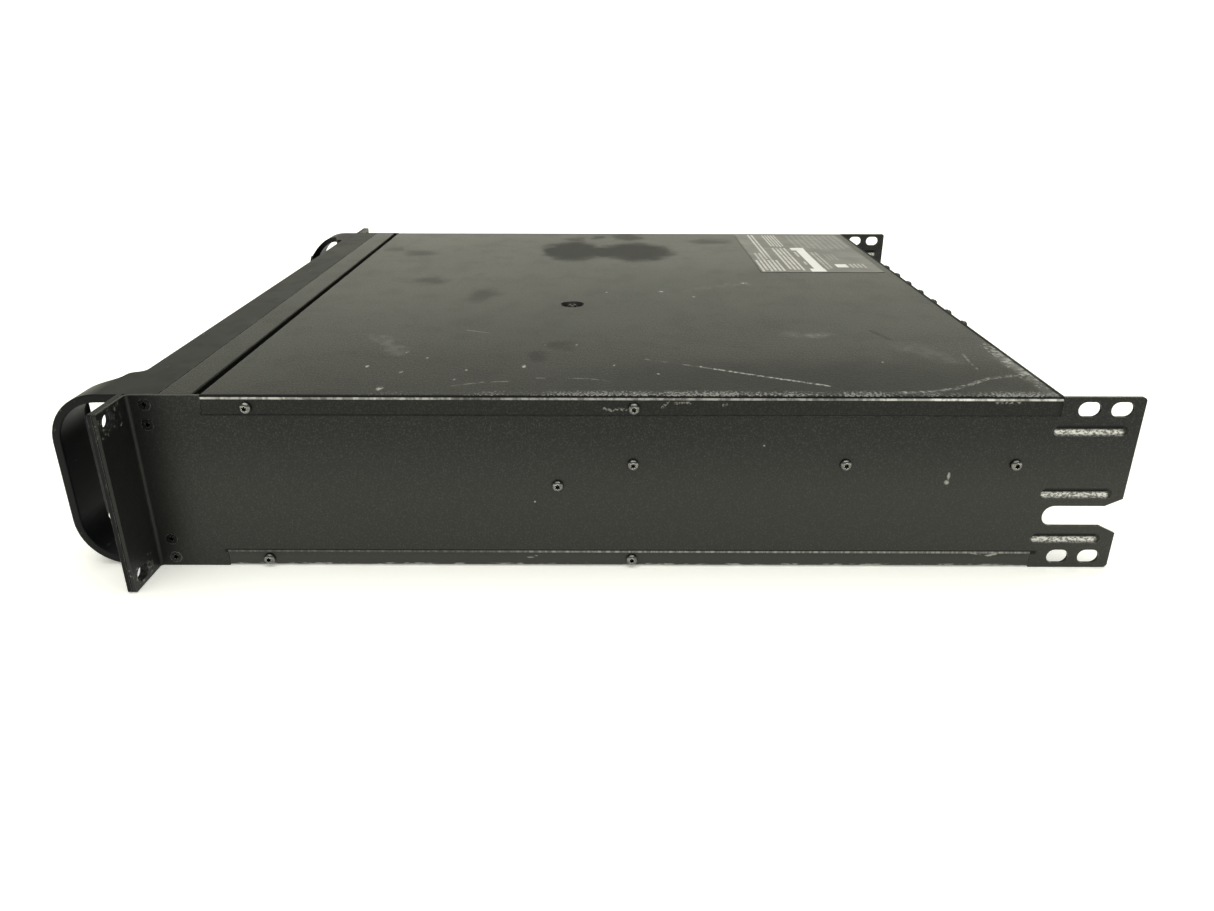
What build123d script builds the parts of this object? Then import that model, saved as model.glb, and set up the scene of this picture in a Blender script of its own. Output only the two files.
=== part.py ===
from build123d import *
import os
from math import cos, pi, radians, sin

# Rack power amplifier, two units high, as an assembly of separate sub-parts.
#
# Frame: the origin is the centre of the four front rack slots, on the plane where the
# front ears touch the rack rails. +X is the right side seen from the front, +Y runs to
# the rear and +Z is up. Every length is in millimetres.

# ---------------------------------------------------------------- driving dimensions

# Rack standard, two units
RACK_WIDTH = 482.6
RACK_HEIGHT = 88.1
SLOT_SPACING_X = 465.1
SLOT_SPACING_Z = 76.2
SLOT_LENGTH = 10.3
SLOT_WIDTH = 7.1

# Sheet-metal case
CASE_WIDTH = 431.0
SHEET = 1.6
COVER_SHEET = 1.2
EAR_BEND = 1.5
FOLD = 1.8
JOGGLE = COVER_SHEET + 0.1
REAR_FACE = 425.8
COVER_FRONT = 33.6
COVER_BACK = 425.2
COVER_FLANGE = 9.3
PAN_FRONT = 34.0
PAN_BACK = 424.4
PAN_FLANGE = 8.4
REAR_FLANGE = 9.0

# Rear support ears
SUPPORT_END = 463.2
SUPPORT_SLOT_YS = (438.05, 453.05)
SUPPORT_SLOT_LENGTH = 10.4
SUPPORT_SLOT_WIDTH = 7.3
NOTCH_Z = -16.1
NOTCH_HALF = 5.35
NOTCH_CENTRE_Y = 431.8
NOTCH_MOUTH_Y = 455.3
NOTCH_MOUTH_HALF = 9.1
RIB_HEIGHT = 5.2
RIB_DEPTH = 1.1
RIB_TAPER = 40
RIBS = ((440.4, 27.5, 35.4), (440.1, -4.5, 34.9), (439.8, -28.4, 34.2))

# Moulded front with handles
FASCIA_BACK = 13.9
FASCIA_FRONT = -7.0
EAR_GAP = 0.4
EAR_LAYER = 2.0
FASCIA_SIDE = 215.0
FASCIA_LIP = 3.0
HANDLE_FRONT = -38.6
HANDLE_CORNER = 24.0
HANDLE_WALL = 4.0
HANDLE_INNER_X = 176.8
SCOOP_X = 186.0
SCOOP_Y = -25.4
SCOOP_RADIUS = 11.4
SCOOP_END_ANGLE = -104
OPENING_WIDTH = 340.0
OPENING_HEIGHT = 73.0

# Front panel
PANEL_WIDTH = 128.8
PANEL_FACE = FASCIA_FRONT - 0.6
KNOB_XS = (-36.0, 36.0)
KNOB_Z = 8.0
KNOB_RADIUS = 12.0
KNOB_FRONT = -24.0
KNOB_BACK = -8.8
SHAFT_RADIUS = 3.0
LAMP_XS = (-9.0, 9.0)
LAMP_ZS = (4.0, 12.0, 20.0, 28.0)
ROCKER_Z = -18.0
ROCKER_PIVOT_Y = -6.5
ROCKER_RADIUS = 11.2
ROCKER_TILT = 10
BOARD = 1.6

# Rear panel
FAN_XS = (-42.0, 34.0)
FAN_Z = -2.0
FAN_SIZE = 70.0
FAN_DEPTH = 15.0
FAN_HOLE_SPACING = 61.5
FAN_BORE = 33.0
FAN_TIP = 32.0
FAN_HUB = 15.0
BLADE_COUNT = 7
BLADE_PITCH = 35
INLET_X = 160.0
INLET_Z = -17.0
BREAKER_X = 160.0
BREAKER_Z = 19.0
SOCKET_XS = (-112.0, -150.0)
INPUT_Z = 16.0
SPEAKER_Z = -20.0
SOCKET_FLANGE = (26.0, 31.0)
TAB_Z = 12.9
TAB_HALF = (3.6, 1.3)
MODE_X = -184.0
MODE_Z = 16.0

# Screws
PAN_RADIUS = 2.75
PAN_HEIGHT = 2.3
SHANK_RADIUS = 1.5
CLEARANCE_RADIUS = 1.7
SINK_RADIUS = 3.0
SINK_DEPTH = 1.4
SIDE_SCREWS = ((230.5, 10.4), (329.7, 10.6), (409.1, 10.7), (195.1, -0.5))
FLANGE_SCREW_YS = (53.8, 230.5)
TOP_SCREW_Z = 38.15
PAN_SCREW_Z = -40.0
SINK_YS = (7.9, 7.5)
SINK_ZS = (39.5, 29.6)
REAR_SCREW_COUNT = 7
REAR_SCREW_PITCH = 26.7
REAR_SCREW_Z = 40.6
WASHER_RADIUS = 3.1
WASHER_HEIGHT = 0.9
DIMPLE = (44.0, 196.5)
DIMPLE_RADIUS = 7.6
DIMPLE_DEPTH = 2.4

# Printed label: limits along X and Y, and the film's thickness
LABEL = ((-209.0, -52.5), (329.5, 419.0))
LABEL_FILM = 0.15

# ---------------------------------------------------------------- worked-out sizes

HALF_RACK = RACK_WIDTH / 2
HALF_CASE = CASE_WIDTH / 2
TOP = RACK_HEIGHT / 2
INNER = HALF_CASE - SHEET
EAR_BACK = -SHEET - EAR_GAP
EAR_FRONT = EAR_BACK - EAR_LAYER
LID_UNDER = TOP - COVER_SHEET
REAR_INNER = REAR_FACE - SHEET
PANEL_BACK = FASCIA_FRONT + 3.5
GRILLE_BACK = PANEL_BACK + 1.3
CONTROL_BOARD_Y = 8.0
FLANGE_TOP_Z = TOP - COVER_FLANGE
FLANGE_PAN_Z = -TOP + PAN_FLANGE
NARROW = INNER - JOGGLE - 0.2

os.makedirs("parts", exist_ok=True)


# ---------------------------------------------------------------- helpers


def at_depth(y):
    """Plane across the case at depth y. Its axes are X and Z, its normal points forward."""
    return Plane.XZ.offset(-y)


def block(x, y, z, mode=Mode.ADD):
    """Box between two limits along each axis."""
    with Locations(((x[0] + x[1]) / 2, (y[0] + y[1]) / 2, (z[0] + z[1]) / 2)):
        Box(x[1] - x[0], y[1] - y[0], z[1] - z[0], mode=mode)


def rod(radius, x, z, y, mode=Mode.ADD):
    """Cylinder along Y between two depths."""
    with Locations(Plane(origin=(x, y[0], z), z_dir=(0, 1, 0))):
        Cylinder(radius, y[1] - y[0], align=(Align.CENTER, Align.CENTER, Align.MIN), mode=mode)


def post(radius, x, y, z, mode=Mode.ADD):
    """Cylinder along Z between two heights."""
    with Locations((x, y, z[0])):
        Cylinder(radius, z[1] - z[0], align=(Align.CENTER, Align.CENTER, Align.MIN), mode=mode)


def facing(origin, direction):
    """Location on a surface, with its local Z along the outward direction."""
    return Plane(origin=origin, z_dir=direction).location


def star_recess(height, depth):
    """Six-lobed driver recess cut down from a screw head's top."""
    with BuildSketch(Plane.XY.offset(height)) as star:
        Circle(0.95)
        with PolarLocations(1.0, 6):
            Circle(0.34)
    extrude(star.sketch, amount=-depth, mode=Mode.SUBTRACT)


# ---------------------------------------------------------------- screw patterns

# Pan-head screw, local +Z out of its seat
with BuildPart() as pan_screw:
    with BuildSketch(Plane.XZ):
        with BuildLine():
            Polyline((0, PAN_HEIGHT), (0, -6.0), (SHANK_RADIUS, -6.0), (SHANK_RADIUS, 0))
            Polyline((SHANK_RADIUS, 0), (PAN_RADIUS, 0), (PAN_RADIUS, 1.0))
            ThreePointArc((PAN_RADIUS, 1.0), (PAN_RADIUS - 0.55, 1.95), (PAN_RADIUS - 1.5, PAN_HEIGHT))
            Line((PAN_RADIUS - 1.5, PAN_HEIGHT), (0, PAN_HEIGHT))
        make_face()
    revolve(axis=Axis.Z)
    star_recess(PAN_HEIGHT, 1.3)

# Countersunk screw, its head flush with the seat plane
with BuildPart() as sink_screw:
    with BuildSketch(Plane.XZ):
        with BuildLine():
            Polyline(
                (0, 0),
                (SINK_RADIUS - 0.1, 0),
                (SHANK_RADIUS, -SINK_DEPTH),
                (SHANK_RADIUS, -5.0),
                (0, -5.0),
                (0, 0),
            )
        make_face()
    revolve(axis=Axis.Z)
    star_recess(0, 1.0)

side_seats = [(HALF_CASE, y, z) for y, z in SIDE_SCREWS]
flange_seats = [(HALF_CASE, y, z) for y in FLANGE_SCREW_YS for z in (TOP_SCREW_Z, PAN_SCREW_Z)]
sink_seats = [
    (HALF_CASE, y, side * z) for side in (1, -1) for y, z in zip(SINK_YS, SINK_ZS)
]
rear_screw_xs = [
    REAR_SCREW_PITCH * (i - (REAR_SCREW_COUNT - 1) / 2) for i in range(REAR_SCREW_COUNT)
]
fan_corners = [
    (x + i * FAN_HOLE_SPACING / 2, FAN_Z + k * FAN_HOLE_SPACING / 2)
    for x in FAN_XS
    for i in (-1, 1)
    for k in (-1, 1)
]
socket_centres = [(x, z) for z in (INPUT_Z, SPEAKER_Z) for x in SOCKET_XS]
socket_screw_seats = [
    (x + side * 9.5, z + side * 12.0) for x, z in socket_centres for side in (-1, 1)
]
inlet_screw_seats = [(INLET_X + side * 20.0, INLET_Z) for side in (-1, 1)]

# ---------------------------------------------------------------- side panels

with BuildPart() as side_panel_right:
    # One sheet, folded outward at the front as the rear layer of the rack ear
    with BuildSketch(Plane.XY.offset(-TOP)):
        with BuildLine():
            Polyline(
                (HALF_CASE, EAR_BEND),
                (HALF_CASE, SUPPORT_END),
                (INNER, SUPPORT_END),
                (INNER, EAR_BEND),
            )
            CenterArc((HALF_CASE + EAR_BEND, EAR_BEND), EAR_BEND + SHEET, 180, 90)
            Polyline(
                (HALF_CASE + EAR_BEND, -SHEET),
                (HALF_RACK, -SHEET),
                (HALF_RACK, 0),
                (HALF_CASE + EAR_BEND, 0),
            )
            CenterArc((HALF_CASE + EAR_BEND, EAR_BEND), EAR_BEND, 180, 90)
        make_face()
    extrude(amount=RACK_HEIGHT)
    fillet(side_panel_right.edges().filter_by(Axis.Y).group_by(Axis.X)[-1], radius=1.0)
    fillet(side_panel_right.edges().filter_by(Axis.X).group_by(Axis.Y)[-1], radius=2.0)

    # Rack slots in the front ear
    with BuildSketch(at_depth(0)):
        with GridLocations(SLOT_SPACING_X, SLOT_SPACING_Z, 2, 2):
            SlotOverall(SLOT_LENGTH, SLOT_WIDTH)
    extrude(amount=2 * SHEET, both=True, mode=Mode.SUBTRACT)

    # Joggles that let the cover's and the pan's flanges sit flush
    top_span = (COVER_FRONT - 0.3, COVER_BACK + 0.3)
    pan_span = (PAN_FRONT - 0.3, PAN_BACK + 0.3)
    inner_x = (INNER - JOGGLE, INNER)
    outer_x = (HALF_CASE - JOGGLE, HALF_CASE + 1)
    block(inner_x, (top_span[0], REAR_INNER - 0.2), (FLANGE_TOP_Z - 1.6, TOP))
    block(outer_x, top_span, (FLANGE_TOP_Z - 0.1, TOP + 1), mode=Mode.SUBTRACT)
    block((INNER - 2, HALF_CASE + 1), top_span, (LID_UNDER - 0.4, TOP + 1), mode=Mode.SUBTRACT)
    block(inner_x, (pan_span[0], REAR_INNER - 0.2), (-TOP, FLANGE_PAN_Z + 1.6))
    block(outer_x, pan_span, (-TOP - 1, FLANGE_PAN_Z + 0.1), mode=Mode.SUBTRACT)
    block((INNER - 2, HALF_CASE + 1), pan_span, (-TOP - 1, -LID_UNDER + 0.1), mode=Mode.SUBTRACT)

    # Support slots and the open notch with its flared mouth
    with BuildSketch(Plane.YZ.offset(INNER - 2)):
        with Locations(*[(y, k * SLOT_SPACING_Z / 2) for y in SUPPORT_SLOT_YS for k in (-1, 1)]):
            SlotOverall(SUPPORT_SLOT_LENGTH, SUPPORT_SLOT_WIDTH)
        with BuildLine():
            CenterArc((NOTCH_CENTRE_Y, NOTCH_Z), NOTCH_HALF, 90, 180)
            Polyline(
                (NOTCH_CENTRE_Y, NOTCH_Z - NOTCH_HALF),
                (NOTCH_MOUTH_Y, NOTCH_Z - NOTCH_HALF),
                (SUPPORT_END, NOTCH_Z - NOTCH_MOUTH_HALF),
                (SUPPORT_END + 2, NOTCH_Z - NOTCH_MOUTH_HALF),
                (SUPPORT_END + 2, NOTCH_Z + NOTCH_MOUTH_HALF),
                (SUPPORT_END, NOTCH_Z + NOTCH_MOUTH_HALF),
                (NOTCH_MOUTH_Y, NOTCH_Z + NOTCH_HALF),
                (NOTCH_CENTRE_Y, NOTCH_Z + NOTCH_HALF),
            )
        make_face()
    extrude(amount=SHEET + 4, mode=Mode.SUBTRACT)

    # Stiffening ribs pressed inward: a bump inside, a groove outside
    for rib_y, rib_z, rib_length in RIBS:
        with BuildSketch(Plane.YZ.offset(INNER)):
            with Locations((rib_y, rib_z)):
                SlotOverall(rib_length + 1.2, RIB_HEIGHT + 1.2)
        extrude(amount=-RIB_DEPTH, taper=RIB_TAPER)
        with BuildSketch(Plane.YZ.offset(HALF_CASE)):
            with Locations((rib_y, rib_z)):
                SlotOverall(rib_length, RIB_HEIGHT)
        extrude(amount=-RIB_DEPTH, taper=RIB_TAPER, mode=Mode.SUBTRACT)

    # Screw holes
    with Locations(*[facing(seat, (1, 0, 0)) for seat in side_seats + flange_seats]):
        Hole(CLEARANCE_RADIUS, depth=8)
    with Locations(*[facing(seat, (1, 0, 0)) for seat in sink_seats]):
        CounterSinkHole(CLEARANCE_RADIUS, SINK_RADIUS, depth=4, counter_sink_angle=90)

side_panel_right.part.label = "side_panel_right"
export_step(side_panel_right.part, "parts/side_panel_right.step")

with BuildPart() as side_panel_left:
    mirror(side_panel_right.part, about=Plane.YZ)

side_panel_left.part.label = "side_panel_left"
export_step(side_panel_left.part, "parts/side_panel_left.step")

# ---------------------------------------------------------------- top cover

with BuildPart() as top_cover:
    with BuildSketch(at_depth(COVER_BACK)):
        with Locations((0, TOP - COVER_FLANGE / 2)):
            Rectangle(CASE_WIDTH, COVER_FLANGE)
        with Locations((0, TOP - COVER_SHEET - COVER_FLANGE / 2)):
            Rectangle(CASE_WIDTH - 2 * COVER_SHEET, COVER_FLANGE, mode=Mode.SUBTRACT)
    extrude(amount=COVER_BACK - COVER_FRONT)
    top_folds = top_cover.edges().filter_by(Axis.Y).group_by(Axis.Z)[-1]
    fillet(top_folds, radius=FOLD)
    inner_folds = top_cover.edges().filter_by(Axis.Y).filter_by(
        lambda edge: abs(edge.center().Z - LID_UNDER) < 0.01
    )
    fillet(inner_folds, radius=FOLD - COVER_SHEET)

    # Rear flange folded down over the rear panel
    rear_fold_y = REAR_FACE + 0.1 + COVER_SHEET
    block((-NARROW, NARROW), (COVER_BACK - 1, rear_fold_y), (LID_UNDER, TOP))
    block((-NARROW, NARROW), (REAR_FACE + 0.1, rear_fold_y), (TOP - REAR_FLANGE, TOP))
    fillet(
        top_cover.edges().filter_by(Axis.X).group_by(Axis.Z)[-1].group_by(Axis.Y)[-1],
        radius=FOLD,
    )

    # Round dimple that sinks the centre screw
    with Locations((*DIMPLE, LID_UNDER - DIMPLE_DEPTH)):
        Cone(DIMPLE_RADIUS - 1.0, DIMPLE_RADIUS + 0.9, DIMPLE_DEPTH, align=(
            Align.CENTER, Align.CENTER, Align.MIN))
    with Locations((*DIMPLE, TOP - DIMPLE_DEPTH)):
        Cone(DIMPLE_RADIUS - 2.0, DIMPLE_RADIUS, DIMPLE_DEPTH, align=(
            Align.CENTER, Align.CENTER, Align.MIN), mode=Mode.SUBTRACT)
    with Locations((*DIMPLE, TOP)):
        Hole(CLEARANCE_RADIUS, depth=8)

    # Screw holes in the flanges
    for side in (-1, 1):
        with Locations(*[
            facing((side * HALF_CASE, y, TOP_SCREW_Z), (side, 0, 0)) for y in FLANGE_SCREW_YS
        ]):
            Hole(CLEARANCE_RADIUS, depth=3)
    with Locations(*[facing((x, rear_fold_y, REAR_SCREW_Z), (0, 1, 0)) for x in rear_screw_xs]):
        Hole(CLEARANCE_RADIUS, depth=3)

top_cover.part.label = "top_cover"
export_step(top_cover.part, "parts/top_cover.step")

# Printed label, stuck on the cover's rear left corner
with BuildPart() as rating_label:
    block(*LABEL, (TOP, TOP + LABEL_FILM))

rating_label.part.label = "rating_label"
export_step(rating_label.part, "parts/rating_label.step")

# ---------------------------------------------------------------- bottom pan

with BuildPart() as bottom_pan:
    with BuildSketch(at_depth(PAN_BACK)):
        with Locations((0, -TOP + PAN_FLANGE / 2)):
            Rectangle(CASE_WIDTH, PAN_FLANGE)
        with Locations((0, -TOP + COVER_SHEET + PAN_FLANGE / 2)):
            Rectangle(CASE_WIDTH - 2 * COVER_SHEET, PAN_FLANGE, mode=Mode.SUBTRACT)
    extrude(amount=PAN_BACK - PAN_FRONT)
    fillet(bottom_pan.edges().filter_by(Axis.Y).group_by(Axis.Z)[0], radius=FOLD)
    block((-NARROW, NARROW), (COVER_FRONT, PAN_FRONT + 1), (-TOP, -LID_UNDER))
    block((-NARROW, NARROW), (PAN_BACK - 1, REAR_FACE), (-TOP, -LID_UNDER))
    for side in (-1, 1):
        with Locations(*[
            facing((side * HALF_CASE, y, PAN_SCREW_Z), (side, 0, 0)) for y in FLANGE_SCREW_YS
        ]):
            Hole(CLEARANCE_RADIUS, depth=3)

bottom_pan.part.label = "bottom_pan"
export_step(bottom_pan.part, "parts/bottom_pan.step")

# ---------------------------------------------------------------- front bulkhead

BULKHEAD_BACK = 29.6
TONGUE_DROP = 3.0

with BuildPart() as front_bulkhead:
    # Channel open to the front; its upper flange is the strip between front and cover
    width = (-INNER + 0.3, INNER - 0.3)
    channel_y = (FASCIA_BACK + 0.5, BULKHEAD_BACK)
    web_y = (BULKHEAD_BACK - SHEET, BULKHEAD_BACK)
    block(width, channel_y, (TOP - SHEET, TOP))
    block(width, channel_y, (-TOP, -TOP + SHEET))
    block(width, web_y, (-TOP, TOP))
    fillet(
        front_bulkhead.edges().filter_by(Axis.X).group_by(Axis.Y)[-1],
        radius=FOLD - COVER_SHEET,
    )

    # Tongues under the cover and above the pan
    tongue_y = (BULKHEAD_BACK - 0.5, COVER_FRONT + 9.0)
    tongue_z = (LID_UNDER - TONGUE_DROP - SHEET, LID_UNDER - TONGUE_DROP)
    block((-NARROW, NARROW), tongue_y, tongue_z)
    block((-NARROW, NARROW), tongue_y, (-tongue_z[1], -tongue_z[0]))

    # Air windows
    with BuildSketch(at_depth(BULKHEAD_BACK + 1)):
        with GridLocations(58, 38, 7, 2):
            RectangleRounded(48, 31, 4)
    extrude(amount=SHEET + 2, mode=Mode.SUBTRACT)

front_bulkhead.part.label = "front_bulkhead"
export_step(front_bulkhead.part, "parts/front_bulkhead.step")

# ---------------------------------------------------------------- moulded front

with BuildPart() as fascia:
    # Front plate, lips that reach back inside the side panels, and the ears' front layer
    block((-INNER + 0.2, INNER - 0.2), (FASCIA_FRONT + 1, FASCIA_BACK), (-TOP, TOP))
    block((-FASCIA_SIDE, FASCIA_SIDE), (FASCIA_FRONT, EAR_BACK), (-TOP, TOP))

    # D-shaped handle hoops
    with BuildSketch(Plane.YZ.offset(-FASCIA_SIDE)):
        hoop_centre_y = HANDLE_FRONT + HANDLE_CORNER
        for wall, sign in ((0, Mode.ADD), (HANDLE_WALL, Mode.SUBTRACT)):
            back = FASCIA_FRONT + (0 if wall else 1)
            hoop = RectangleRounded(
                2 * (back - HANDLE_FRONT - wall),
                RACK_HEIGHT - 2 * wall,
                HANDLE_CORNER - wall,
                mode=Mode.PRIVATE,
            )
            with Locations((back, 0)):
                add(hoop, mode=sign)
        with Locations((FASCIA_FRONT + 50, 0)):
            Rectangle(100, 200, mode=Mode.SUBTRACT)
    extrude(amount=2 * FASCIA_SIDE)

    # Plan shape between the handles: an S-curve into the finger scoop on each side
    for side in (-1, 1):
        with BuildSketch(Plane.XY.offset(-TOP - 1)):
            with BuildLine():
                middle = (
                    side * (HANDLE_INNER_X + SCOOP_X) / 2,
                    (FASCIA_FRONT + SCOOP_Y + SCOOP_RADIUS) / 2,
                )
                scoop_start = (side * SCOOP_X, SCOOP_Y + SCOOP_RADIUS)
                scoop_end = (
                    side * (SCOOP_X + SCOOP_RADIUS * cos(radians(SCOOP_END_ANGLE))),
                    SCOOP_Y + SCOOP_RADIUS * sin(radians(SCOOP_END_ANGLE)),
                )
                Line((0, FASCIA_FRONT), (side * HANDLE_INNER_X, FASCIA_FRONT))
                bend = TangentArc(
                    (side * HANDLE_INNER_X, FASCIA_FRONT), middle, tangent=(side, 0)
                )
                TangentArc(middle, scoop_start, tangent=bend % 1)
                ThreePointArc(scoop_start, (side * (SCOOP_X + SCOOP_RADIUS), SCOOP_Y), scoop_end)
                Polyline(
                    scoop_end,
                    (scoop_end[0], HANDLE_FRONT - 2),
                    (0, HANDLE_FRONT - 2),
                    (0, FASCIA_FRONT),
                )
            make_face()
        extrude(amount=RACK_HEIGHT + 2, mode=Mode.SUBTRACT)

    # Rounded edges of the handles and of the top and bottom
    outer_edges = fascia.edges().filter_by(
        lambda edge: abs(abs(edge.center().X) - FASCIA_SIDE) < 0.01
        and edge.center().Y < FASCIA_FRONT
    )
    fillet(outer_edges, radius=0.8)

    # Hollow back and the window for grilles and control panel
    inside = INNER - 0.2 - FASCIA_LIP
    hollow_y = (PANEL_BACK, FASCIA_BACK + 1)
    hollow_z = (-TOP + FASCIA_LIP, TOP - FASCIA_LIP)
    block((-inside, inside), hollow_y, hollow_z, mode=Mode.SUBTRACT)
    with BuildSketch(at_depth(FASCIA_FRONT - 1)):
        RectangleRounded(OPENING_WIDTH, OPENING_HEIGHT, 3)
    extrude(amount=-8, mode=Mode.SUBTRACT)
    window_rim = fascia.edges().filter_by(
        lambda edge: abs(edge.center().Y - FASCIA_FRONT) < 0.01
        and abs(edge.center().X) < OPENING_WIDTH / 2 + 0.1
        and abs(edge.center().Z) < OPENING_HEIGHT / 2 + 0.1
    )
    chamfer(window_rim, length=0.8)

    # Rack ears with their slots
    for side in (-1, 1):
        ear_x = sorted((side * (FASCIA_SIDE - 1), side * HALF_RACK))
        block(ear_x, (EAR_FRONT, EAR_BACK), (-TOP, TOP))
    ear_corners = fascia.edges().filter_by(Axis.Y).filter_by(
        lambda edge: abs(abs(edge.center().X) - HALF_RACK) < 0.01
    )
    fillet(ear_corners, radius=1.0)
    with BuildSketch(at_depth(0)):
        with GridLocations(SLOT_SPACING_X, SLOT_SPACING_Z, 2, 2):
            SlotOverall(SLOT_LENGTH, SLOT_WIDTH)
    extrude(amount=6, mode=Mode.SUBTRACT)

    # Threaded holes for the countersunk screws
    for side in (-1, 1):
        with Locations(*[facing((side * INNER, y, z), (side, 0, 0)) for _, y, z in sink_seats]):
            Hole(SHANK_RADIUS + 0.05, depth=6)

fascia.part.label = "fascia"
export_step(fascia.part, "parts/fascia.step")

# ---------------------------------------------------------------- intake grilles and filters

GRILLE_X = (PANEL_WIDTH / 2 + 0.6, OPENING_WIDTH / 2 + 2)

for side, name in ((-1, "left"), (1, "right")):
    grille_x = sorted((side * GRILLE_X[0], side * GRILLE_X[1]))
    grille_centre = sum(grille_x) / 2
    with BuildPart() as intake_grille:
        block(grille_x, (PANEL_BACK + 0.1, GRILLE_BACK), (-39, 39))
        with BuildSketch(at_depth(GRILLE_BACK + 1)):
            with Locations((grille_centre, 0)):
                with HexLocations(3.5, 16, 10):
                    RegularPolygon(3.3, 6)
        extrude(amount=4, mode=Mode.SUBTRACT)
    intake_grille.part.label = f"intake_grille_{name}"
    export_step(intake_grille.part, f"parts/intake_grille_{name}.step")

with BuildPart() as filter_foams:
    for side in (-1, 1):
        foam_x = sorted((side * GRILLE_X[0], side * GRILLE_X[1]))
        block(foam_x, (GRILLE_BACK + 0.1, GRILLE_BACK + 8.1), (-38, 38))

filter_foams.part.label = "filter_foams"
export_step(filter_foams.part, "parts/filter_foams.step")

# ---------------------------------------------------------------- control panel

SWITCH_CUTOUT = (17.0, 26.0)

with BuildPart() as control_panel:
    block((-PANEL_WIDTH / 2, PANEL_WIDTH / 2), (PANEL_FACE, PANEL_BACK + 0.5), (-36.4, 36.4))
    fillet(control_panel.edges().filter_by(Axis.Y), radius=2.5)
    front_rim = control_panel.edges().group_by(Axis.Y)[0]
    fillet(front_rim, radius=0.6)
    block((-64.8, 64.8), (PANEL_BACK + 0.1, PANEL_BACK + 2.1), (-39, 39))

    # Shallow dishes round the knobs, bores for the bushes, lamps and switch
    for x in KNOB_XS:
        rod(KNOB_RADIUS + 3, x, KNOB_Z, (PANEL_FACE - 1, PANEL_FACE + 0.8), mode=Mode.SUBTRACT)
        rod(3.7, x, KNOB_Z, (PANEL_FACE - 1, PANEL_BACK + 3), mode=Mode.SUBTRACT)
    for x in LAMP_XS:
        for z in LAMP_ZS:
            rod(1.55, x, z, (PANEL_FACE - 1, PANEL_BACK + 3), mode=Mode.SUBTRACT)
    with BuildSketch(at_depth(PANEL_BACK + 3)):
        with Locations((0, ROCKER_Z)):
            Rectangle(*SWITCH_CUTOUT)
    extrude(amount=12, mode=Mode.SUBTRACT)

control_panel.part.label = "control_panel"
export_step(control_panel.part, "parts/control_panel.step")

with BuildPart() as lamp_lenses:
    for x in LAMP_XS:
        for z in LAMP_ZS:
            rod(1.5, x, z, (PANEL_FACE - 0.5, CONTROL_BOARD_Y - 0.1))
    fillet(lamp_lenses.edges().group_by(Axis.Y)[0], radius=0.5)

lamp_lenses.part.label = "lamp_lenses"
export_step(lamp_lenses.part, "parts/lamp_lenses.step")

with BuildPart() as control_board:
    block((-62, 62), (CONTROL_BOARD_Y, CONTROL_BOARD_Y + BOARD), (-37, 37))
    for x in (-48, -20, 20, 48):
        block((x - 6, x + 6), (CONTROL_BOARD_Y + BOARD, CONTROL_BOARD_Y + 4), (-26, -18))
        rod(2.5, x, 26, (CONTROL_BOARD_Y + BOARD, CONTROL_BOARD_Y + 8))

control_board.part.label = "control_board"
export_step(control_board.part, "parts/control_board.step")

# ---------------------------------------------------------------- level controls

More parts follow.
